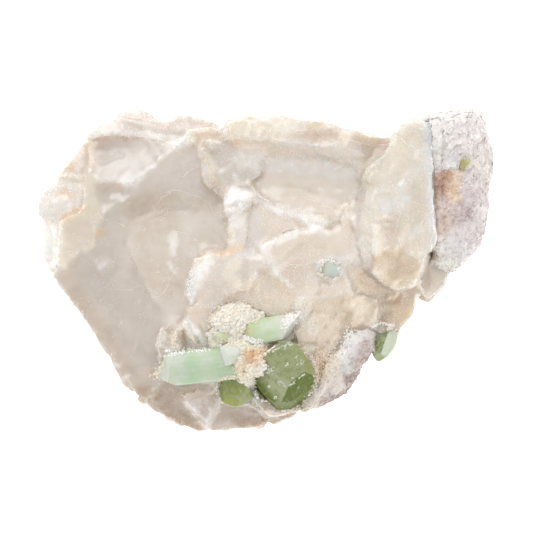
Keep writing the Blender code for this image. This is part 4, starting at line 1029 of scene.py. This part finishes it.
# %% Tourmalines: the crystals
CRYSTALS = [
    ("mint_prism", "tourmaline_mint_prism", "tourmaline_mint", (-5.0, -17.7, 31.3), (-21.2, -19.4, 30.7),
     6.6, 0.94, 14, [(0, 0, 15.9, 33, 75), (0, 0, 16.1, 36, 165), (2.0, -0.5, 15.8, 64, 345)]),
    ("upper_prism", "tourmaline_upper_prism", "tourmaline_mint", (7.0, -10.6, 33.0), (-5.2, -12.5, 33.9),
     5.0, 0.88, 40,
     [(0, 0, 12.0, 40, 60), (0, 0, 11.9, 44, 140), (0, 0, 12.1, 50, 300), (0, 0, 1.5, 135, 350)]),
    ("green_prism", "tourmaline_green_prism", "tourmaline_green", (4.4, -22.3, 27.0), (3.5, -19.3, 37.4),
     11.4, 0.95, 8,
     [(0, 0, 10.4, 4, 270), (0.4, 0.1, 10.4, 38, 12), (-0.7, 2.9, 10.4, 64, 103), (-4, 1.5, 10.4, 56, 160)]),
    ("olive_crystal", "tourmaline_olive_crystal", "tourmaline_olive", (-4.1, -21.9, 24.4),
     (-6.4, -23.9, 30.4), 7.0, 0.9, 25, [(0, 0, 6.3, 14, 90), (2, 0, 6.2, 40, 10), (-2, -1, 6.2, 38, 200)]),
    ("edge_crystal", "tourmaline_edge_crystal", "tourmaline_olive", (24.8, -14.5, 19.0), (23.6, -14.0, 28.6),
     7.3, 0.64, 4, [(0, 0, 9.4, 24, 270), (0, 1.6, 9.4, 46, 90), (3, 0, 9.2, 40, 0)]),
    ("small_spray", "tourmaline_small_spray", "tourmaline_pale", (-3.4, -22.9, 28.2), (-0.2, -26.6, 28.2),
     2.9, 0.6, 60, [(0, 0, 4.5, 30, 90)]),
    ("mint_chip", "tourmaline_mint_chip", "tourmaline_pale", (14.4, 0.4, 34.0), (10.9, 1.2, 34.6),
     2.9, 0.8, 10, [(0, 0, 3.0, 48, 60), (0, 0, 3.2, 40, 200)]),
    ("yellow_chip", "tourmaline_yellow_chip", "tourmaline_olive", (-6.4, -12.1, 32.8), (-10.6, -13.4, 32.7),
     2.9, 0.8, 0, [(0, 0, 3.9, 45, 60), (0, 0, 3.9, 45, 200)]),
    ("pale_chunk", "tourmaline_pale_chunk", "tourmaline_pale", (-5.2, -15.5, 33.4), (-9.0, -17.1, 34.5),
     4.0, 0.8, 30, [(0, 0, 3.6, 30, 60), (0, 0, 3.6, 40, 220)]),
    ("green_sliver", "tourmaline_sliver", "tourmaline_olive", (38.9, 20.6, 31.9), (40.3, 22.3, 33.0),
     1.3, 0.7, 0, [(0, 0, 2.1, 30, 60)]),
]
END_TINTS = {
    "green_prism": [(188, 196, 144), (204, 211, 168), (98, 122, 0, 0.5), (206, 206, 140, 0.8)],
    "upper_prism": [(214, 206, 146), (206, 190, 120), (226, 226, 176), (250, 248, 238)],
    "edge_crystal": [(122, 138, 50), (232, 238, 216), (170, 182, 120)],
    "mint_prism": [(236, 240, 222), (232, 240, 220), (224, 238, 214)],
    "olive_crystal": [(188, 198, 96), (204, 212, 132), (178, 190, 88)],
    "yellow_chip": [(236, 236, 206), (230, 230, 190)],
    "green_sliver": [(220, 214, 150)],
}
PALE_ENDS = [(236, 242, 226), (230, 238, 218)]
SECTION_SIDES = 120
RINGS_PER_MM = 2.0
FIT = 0.12
SECTION = [(3, 0.06, 0), (6, 0.02, 0)]
OWN_SECTIONS = {"green_prism": [(3, 0.02, 0), (4, 0.07, 57)]}
GROOVES = [(9, 0.7, 0.009), (23, 2.1, 0.005), (41, 0.0, 0.003)]
EDGE_ANGLE, SHARP_ANGLE = math.radians(16), math.radians(25)
WORN_SHARE = 0.026


def section_reach(angle, radius, sides):
    """The section's reach at an angle: bulging sides with grooves of several widths."""
    reach = 1 + sum(height * math.cos(count * (angle - math.radians(turn))) for count, height, turn in sides)
    return radius * (reach + sum(height * math.sin(count * angle + turn) for count, turn, height in GROOVES))


def grooved_column(length, width, flatness, sides):
    """A grooved prism along Z in millimetres, in rings, closed at both ends."""
    body = bmesh.new()
    bmesh.ops.create_circle(body, segments=SECTION_SIDES, radius=1)
    for vertex in body.verts:
        angle = math.atan2(vertex.co.y, vertex.co.x)
        reach = section_reach(angle, width / 2 + FIT, sides)
        vertex.co = Vector((reach * math.cos(angle), flatness * reach * math.sin(angle), 0))
    rim = body.edges[:]
    bmesh.ops.contextual_create(body, geom=rim)
    steps = max(2, int(length * RINGS_PER_MM))
    for _ in range(steps):
        raised = bmesh.ops.extrude_edge_only(body, edges=rim)["geom"]
        bmesh.ops.translate(body, verts=[part for part in raised if isinstance(part, bmesh.types.BMVert)],
                            vec=(0, 0, length / steps))
        rim = [part for part in raised if isinstance(part, bmesh.types.BMEdge)]
    bmesh.ops.contextual_create(body, geom=rim)
    bmesh.ops.recalc_face_normals(body, faces=body.faces)
    return body


def cut_ends(body, ends, tints):
    """Cuts the column by each plane (point, dip, heading) and closes the cut with one flat, tinted face."""
    cap = body.faces.layers.float.new("cap")
    end_tint = body.faces.layers.float_color.new("end_tint")
    for (x, y, z, dip, way), tint in zip(ends, tints):
        slope, heading = math.radians(dip), math.radians(way)
        sideways = math.sin(slope)
        outward = Vector((sideways * math.cos(heading), sideways * math.sin(heading), math.cos(slope)))
        everything = body.verts[:] + body.edges[:] + body.faces[:]
        cut = bmesh.ops.bisect_plane(body, geom=everything, dist=1e-5, clear_outer=True,
                                     plane_co=Vector((x, y, z)) + outward * FIT, plane_no=outward)
        rim = [part for part in cut["geom_cut"] if isinstance(part, bmesh.types.BMEdge)]
        if rim:
            for face in bmesh.ops.contextual_create(body, geom=rim)["faces"]:
                face[cap] = tint[3] if len(tint) > 3 else 1.0
                face[end_tint] = (*paint(*tint[:3]), 1)
    bmesh.ops.remove_doubles(body, verts=body.verts, dist=0.01)


def blunted(body, offset):
    """Rounds the edges of the flat end faces, and gives the points that the rounding made."""
    sharp = [e for e in body.edges if len(e.link_faces) == 2 and e.calc_face_angle(0) > EDGE_ANGLE
             and max(len(f.verts) for f in e.link_faces) > 4]
    made = bmesh.ops.bevel(body, geom=sharp, offset=offset, offset_type="OFFSET", segments=2, profile=0.5,
                           affect="EDGES", material=-1, clamp_overlap=True)
    return set(made["verts"])


def crystal_mesh(name, foot, tip, width, flatness, roll, ends):
    """A finished crystal in place, which knows where each point lies along it, round it and on its edges."""
    length = (Vector(tip) - Vector(foot)).length
    body = grooved_column(length, width, flatness, OWN_SECTIONS.get(name, SECTION))
    cut_ends(body, ends, END_TINTS.get(name, PALE_ENDS))
    worn = blunted(body, WORN_SHARE * width)
    along, around, frost = (body.verts.layers.float.new(word) for word in ("along", "around", "frost"))
    for vertex in body.verts:
        vertex[along] = vertex.co.z / length
        vertex[around] = math.atan2(vertex.co.y / flatness, vertex.co.x) / (2 * math.pi)
        vertex[frost] = 1.0 if vertex in worn else 0.0
    axis = (Vector(tip) - Vector(foot)).normalized()
    turn = axis.to_track_quat("Z", "Y").to_matrix().to_4x4() @ Matrix.Rotation(math.radians(roll), 4, "Z")
    place = Vector(foot) * MM + Vector((plan_shift.x, plan_shift.y, 0))
    bmesh.ops.transform(body, verts=body.verts, matrix=Matrix.Translation(place) @ turn @ Matrix.Scale(MM, 4))
    bmesh.ops.recalc_face_normals(body, faces=body.faces)
    made = mesh_object(name, body)
    made.data.shade_smooth()
    made.data.set_sharp_from_angle(angle=SHARP_ANGLE)
    return made


# %% [markdown]
# The crystals are glass in the shader's sense: a fixed share of light passes through, bends by the real
# index of 1.62 and loses its red and blue on the way, by plain absorption. The colour of the surface runs
# along the crystal from foot to tip, and its bump follows the grooves. Along the grooves the colour is
# darkened as painted shade and lightened in thin pale streaks as painted highlights. The ends of the
# prisms are etched, so they are duller, with pale pits, and have a colour of their own, mixed in by a
# fourth number if given.

# %% Tourmalines: material
def gradient(recipe, source, stops):
    """The colours of some stops (position, red, green, blue) along a value."""
    node = recipe.add("ValToRGB")
    recipe.link(source, node.inputs["Fac"])
    points = node.color_ramp.elements
    for point, (position, *levels) in ((points[0], stops[0]), (points[1], stops[-1])):
        point.position, point.color = position, (*paint(*levels), 1)
    for position, *levels in stops[1:-1]:
        points.new(position).color = (*paint(*levels), 1)
    return node.outputs["Color"]


def tourmaline_finish(name, stops, clear, absorb, density, streaks=0.35, dusty=0.3, cloud=(238, 242, 232),
                      glint=0.35, gloss=0.2, fade=(-0.2, -0.1)):
    """Colour stops from foot to tip, clearness, what the inside absorbs, and where the end tint fades out."""
    recipe = Recipe(name)
    haze_and_highlight = paint(*cloud)
    deep = tuple(0.6 * channel for channel in paint(*stops[len(stops) // 2][1:]))
    along = recipe.attribute("along")
    cap = recipe.product(recipe.attribute("cap"), recipe.window(along, *fade))
    unrolled = recipe.add("CombineXYZ")
    recipe.link(recipe.product(recipe.attribute("around"), 60.0), unrolled.inputs["X"])
    recipe.link(recipe.product(along, 2.2), unrolled.inputs["Y"])
    noise_lines = recipe.add("TexNoise")
    for socket, value in (("Vector", unrolled.outputs["Vector"]), ("Scale", 2.4), ("Detail", 6)):
        recipe.fill(noise_lines.inputs[socket], value)
    grooves = noise_lines.outputs["Fac"]
    broad = recipe.grain(330, 0.46, 0.64)
    fine = recipe.grain(1300, 0.42, 0.6, 0.03)
    mottle = recipe.grain(800, 0.46, 0.62)
    pits = recipe.grain(560, 0.60, 0.65)
    # Darkened along the grooves as painted shade, then lightened in thin pale streaks along them as painted
    # highlights.
    shadowed = recipe.layer(gradient(recipe, along, stops), deep, recipe.range(grooves, -0.5, 1.3), streaks)
    streak_highlights = recipe.layer(shadowed, haze_and_highlight, recipe.window(grooves, 0.58, 0.66), streaks)
    mottled = recipe.layer(recipe.attribute("end_tint", "Color"), deep, mottle.mask, 0.6 * streaks)
    etched = recipe.layer(mottled, haze_and_highlight, fine.mask, 0.30)
    pitted = recipe.layer(etched, paint(248, 249, 243), pits.mask, 0.8)
    cloudy = recipe.layer(recipe.layer(streak_highlights, pitted, cap), haze_and_highlight, broad.mask, dusty)
    rim = recipe.product(recipe.attribute("frost"), recipe.range(fine.mask, 0.35, 1.0))
    inside = recipe.add("VolumeAbsorption")
    inside.inputs["Color"].default_value = (*absorb, 1)
    inside.inputs["Density"].default_value = density
    recipe.link(inside.outputs["Volume"], recipe.tree.nodes["Material Output"].inputs["Volume"])
    return recipe.feed(
        (0.8, 1.0, 0.6), Base_Color=recipe.layer(cloudy, paint(250, 251, 246), rim, 0.8),
        Roughness=recipe.range(recipe.most(rim, recipe.product(cap, 0.6)), gloss, 0.5),
        Normal=recipe.bump(fine.height, 0.16 * MM, 0.45, recipe.bump(grooves, 0.22 * MM, 0.5)),
        IOR=1.62, Specular_IOR_Level=glint, Transmission_Weight=clear, Subsurface_Weight=0.25,
        Subsurface_Scale=1.5 * MM)


FINISHES = {
    "mint_prism": ("mint_tourmaline", [
        (0.0, 228, 241, 206), (0.15, 214, 240, 200), (0.45, 226, 246, 212), (0.62, 212, 240, 202),
        (0.8, 236, 247, 224), (1.0, 241, 247, 226)], 0.32, (0.6, 0.94, 0.6), 7, 0.25, 0.5, (246, 250, 244)),
    "upper_prism": ("olive_to_mint_tourmaline", [
        (0.0, 252, 250, 240), (0.25, 248, 249, 236), (0.42, 228, 243, 210), (0.7, 214, 236, 190),
        (0.9, 222, 222, 160), (1.0, 214, 198, 134)], 0.22, (0.68, 0.92, 0.55), 7, 0.25, 0.5, (246, 248, 236)),
    "green_prism": ("green_tourmaline", [
        (0.0, 104, 124, 0), (0.6, 108, 128, 0), (0.8, 120, 136, 20), (1.0, 128, 142, 40)],
        0.4, (0.5, 0.66, 0.06), 40, 0.6, 0.06, (196, 206, 146), 0.1, 0.45, (0.62, 0.76)),
    "olive_crystal": ("olive_tourmaline", [
        (0.0, 178, 190, 74), (0.6, 196, 206, 98), (1.0, 206, 214, 118)],
        0.45, (0.66, 0.78, 0.14), 24, 0.4, 0.2),
    "edge_crystal": ("edge_tourmaline", [
        (0.0, 226, 234, 208), (0.7, 226, 236, 210), (1.0, 232, 238, 218)],
        0.4, (0.72, 0.86, 0.55), 10, 0.2, 0.3),
    "pale": ("pale_tourmaline", [
        (0.0, 244, 245, 234), (0.5, 234, 241, 224), (1.0, 240, 243, 230)],
        0.12, (0.85, 0.95, 0.75), 4, 0.4, 0.8),
    "mint_chip": ("mint_chip_tourmaline", [
        (0.0, 232, 246, 234), (1.0, 230, 244, 230)], 0.25, (0.8, 0.96, 0.84), 5, 0.2, 0.6),
    "yellow_chip": ("yellow_tourmaline", [
        (0.0, 240, 242, 200), (1.0, 236, 240, 204)], 0.15, (0.9, 0.92, 0.55), 7, 0.2, 0.5),
    "green_sliver": ("sliver_tourmaline", [
        (0.0, 210, 204, 120), (1.0, 226, 220, 150)], 0.35, (0.8, 0.8, 0.25), 12),
}
finishes = {kind: tourmaline_finish(*values) for kind, values in FINISHES.items()}
crystals = []
for crystal_name, node, slot, *shape in CRYSTALS:
    piece = crystal_mesh(crystal_name, *shape)
    dress(piece, finishes.get(crystal_name, finishes["pale"]), slot, node)
    crystals.append(piece)

# %% [markdown]
# Sugary feldspar also dusts the stone near the crystals, fills the seams round their feet and sticks to
# them. Each dusting below is a line on the photograph with a width, a number of grains and a tint. A ray
# from the camera through a pixel finds where the grain lands, so it lies on what carries it.

# %% Albite: dusting and seams
DUSTINGS = [
    ([(219, 322), (228, 316), (240, 311)], 9, 420, "cream"), ([(236, 308), (246, 304)], 5, 90, "cream"),
    ([(170, 355), (186, 351), (210, 350)], 1.8, 110, "white"),
    ([(163, 362), (158, 370), (154, 376)], 4, 90, "cream"),
    ([(210, 344), (222, 342), (238, 344)], 3, 130, "cream"),
    ([(240, 336), (250, 340), (262, 344)], 3, 160, "white"),
    ([(236, 333), (246, 324), (258, 319)], 1.6, 70, "cream"),
    ([(286, 315), (297, 315), (303, 318)], 3, 120, "white"),
    ([(262, 357), (266, 351), (276, 345)], 2.5, 120, "cream"),
    ([(254, 368), (262, 372), (266, 366)], 3, 120, "white"),
    ([(302, 347), (312, 358), (317, 372), (315, 388), (303, 402)], 2.2, 240, "cream"),
    ([(318, 350), (322, 366), (318, 382)], 6, 130, "rust"),
    ([(330, 352), (334, 366), (326, 382)], 8, 420, "cream"),
    ([(352, 332), (345, 346), (338, 358)], 5, 260, "white"),
    ([(372, 327), (380, 323), (394, 325)], 1.5, 90, "white"),
    ([(372, 330), (371, 345), (374, 352)], 1.5, 50, "cream"),
    ([(317, 263), (325, 260), (334, 261)], 1.6, 50, "white"), ([(339, 268), (341, 273)], 1.6, 40, "white"),
    ([(236, 366), (240, 376), (250, 380)], 4, 160, "cream"),
    ([(211, 332), (213, 316), (224, 307), (240, 304), (252, 311)], 4, 520, "cream"),
    ([(305, 373), (297, 380), (289, 386)], 1.0, 36, "mist"), ([(287, 365)], 1.8, 12, "mist"),
    ([(269, 387)], 1.6, 8, "mist"), ([(275, 397)], 1.8, 9, "mist"),
    ([(266, 372), (274, 370)], 3.0, 40, "mist"), ([(272, 352), (282, 346), (293, 345)], 1.4, 26, "mist"),
    ([(296, 356), (300, 366)], 3.5, 14, "mist"), ([(284, 324), (290, 320), (298, 317)], 5, 150, "white"),
    ([(242, 340), (248, 343)], 2.5, 40, "cream"), ([(216, 382), (224, 378), (236, 377)], 1.8, 60, "cream"),
    ([(300, 300), (310, 310), (306, 326)], 8, 160, "cream"),
    ([(436, 262), (446, 262), (456, 258)], 5, 160, "white"), ([(434, 116), (434, 168)], 3.2, 120, "white"),
    ([(430, 252), (434, 260)], 3.5, 130, "cream"), ([(251, 371), (254, 386)], 3.0, 90, "cream"),
    ([(238, 202), (243, 208)], 4, 70, "white"), ([(192, 268), (190, 284), (189, 296)], 3, 90, "white"),
    ([(176, 330), (173, 346)], 2.5, 60, "cream"),
]
SEAM_OPENNESS, SEAMS_ABOVE = 0.08, 20 * MM
CREAM_SHARE = 0.7
ground_builder = bmesh.new()
for carrier in (quartz, albite, crust, band, *crystals):
    ground_builder.from_mesh(carrier.data)
ground_tree = BVHTree.FromBMesh(ground_builder)
ground_builder.free()


def landing(px, py):
    """Where the line of sight through a pixel meets the stone, and the direction outwards there."""
    through = plan(px, py)
    sight = Vector((through.x, through.y, FOCUS_HEIGHT)) - camera.location
    place, normal, _, _ = ground_tree.ray_cast(camera.location, sight.normalized())
    return place, normal


def dusting(name, lines, seed, sizes):
    rng = np.random.default_rng(seed)
    placements = []
    for line, width, count, tint in lines:
        corners = [np.array(corner, dtype=float) for corner in (line if len(line) > 1 else line * 2)]
        lengths = np.array([np.linalg.norm(b - a) + 0.01 for a, b in zip(corners, corners[1:])])
        for _ in range(count):
            part = int(rng.choice(len(lengths), p=lengths / lengths.sum()))
            spot = corners[part] + (corners[part + 1] - corners[part]) * rng.uniform()
            place, normal = landing(*(spot + rng.normal(0, width / 2, 2)))
            if place is None:
                continue
            size = grain_size(rng, sizes, 0.5)
            shade = np.clip(np.array(TINTS[tint]) * float(rng.uniform(0.94, 1.06)), 0, 1)
            placements.append((leaning(place, normal, float(rng.uniform(0, GRAIN_LEAN)), rng, size), shade))
    return spread(name, sugar_grain(), placements)


def seam_grains(name, count, seed, sizes):
    """Grains where the quartz comes within a third of a millimetre of what grows in it."""
    rng = np.random.default_rng(seed)
    upward = (quartz_skin.normals[:, 2] > 0.1) & (quartz_skin.places[:, 2] > SEAMS_ABOVE)
    rim = np.flatnonzero((open_quartz < SEAM_OPENNESS) & upward)
    placements = []
    for index in rng.choice(rim, size=min(count, len(rim)), replace=False):
        place, normal = Vector(quartz_skin.places[index]), Vector(quartz_skin.normals[index])
        size = grain_size(rng, sizes, 0.5)
        tint = "cream" if rng.uniform() < CREAM_SHARE else "white"
        shade = np.array(TINTS[tint]) * float(rng.uniform(0.88, 1.0))
        placements.append((leaning(place, normal, float(rng.uniform(0, GRAIN_LEAN)), rng, size), shade))
    return spread(name, sugar_grain(), placements)


dress(seam_grains("seam_grains", 3200, 67, (0.3, 0.8)), ALBITE_GRAIN, "albite")
dress(dusting("feldspar_dusting", DUSTINGS, 65, (0.16, 0.42)), ALBITE_GRAIN, "albite")
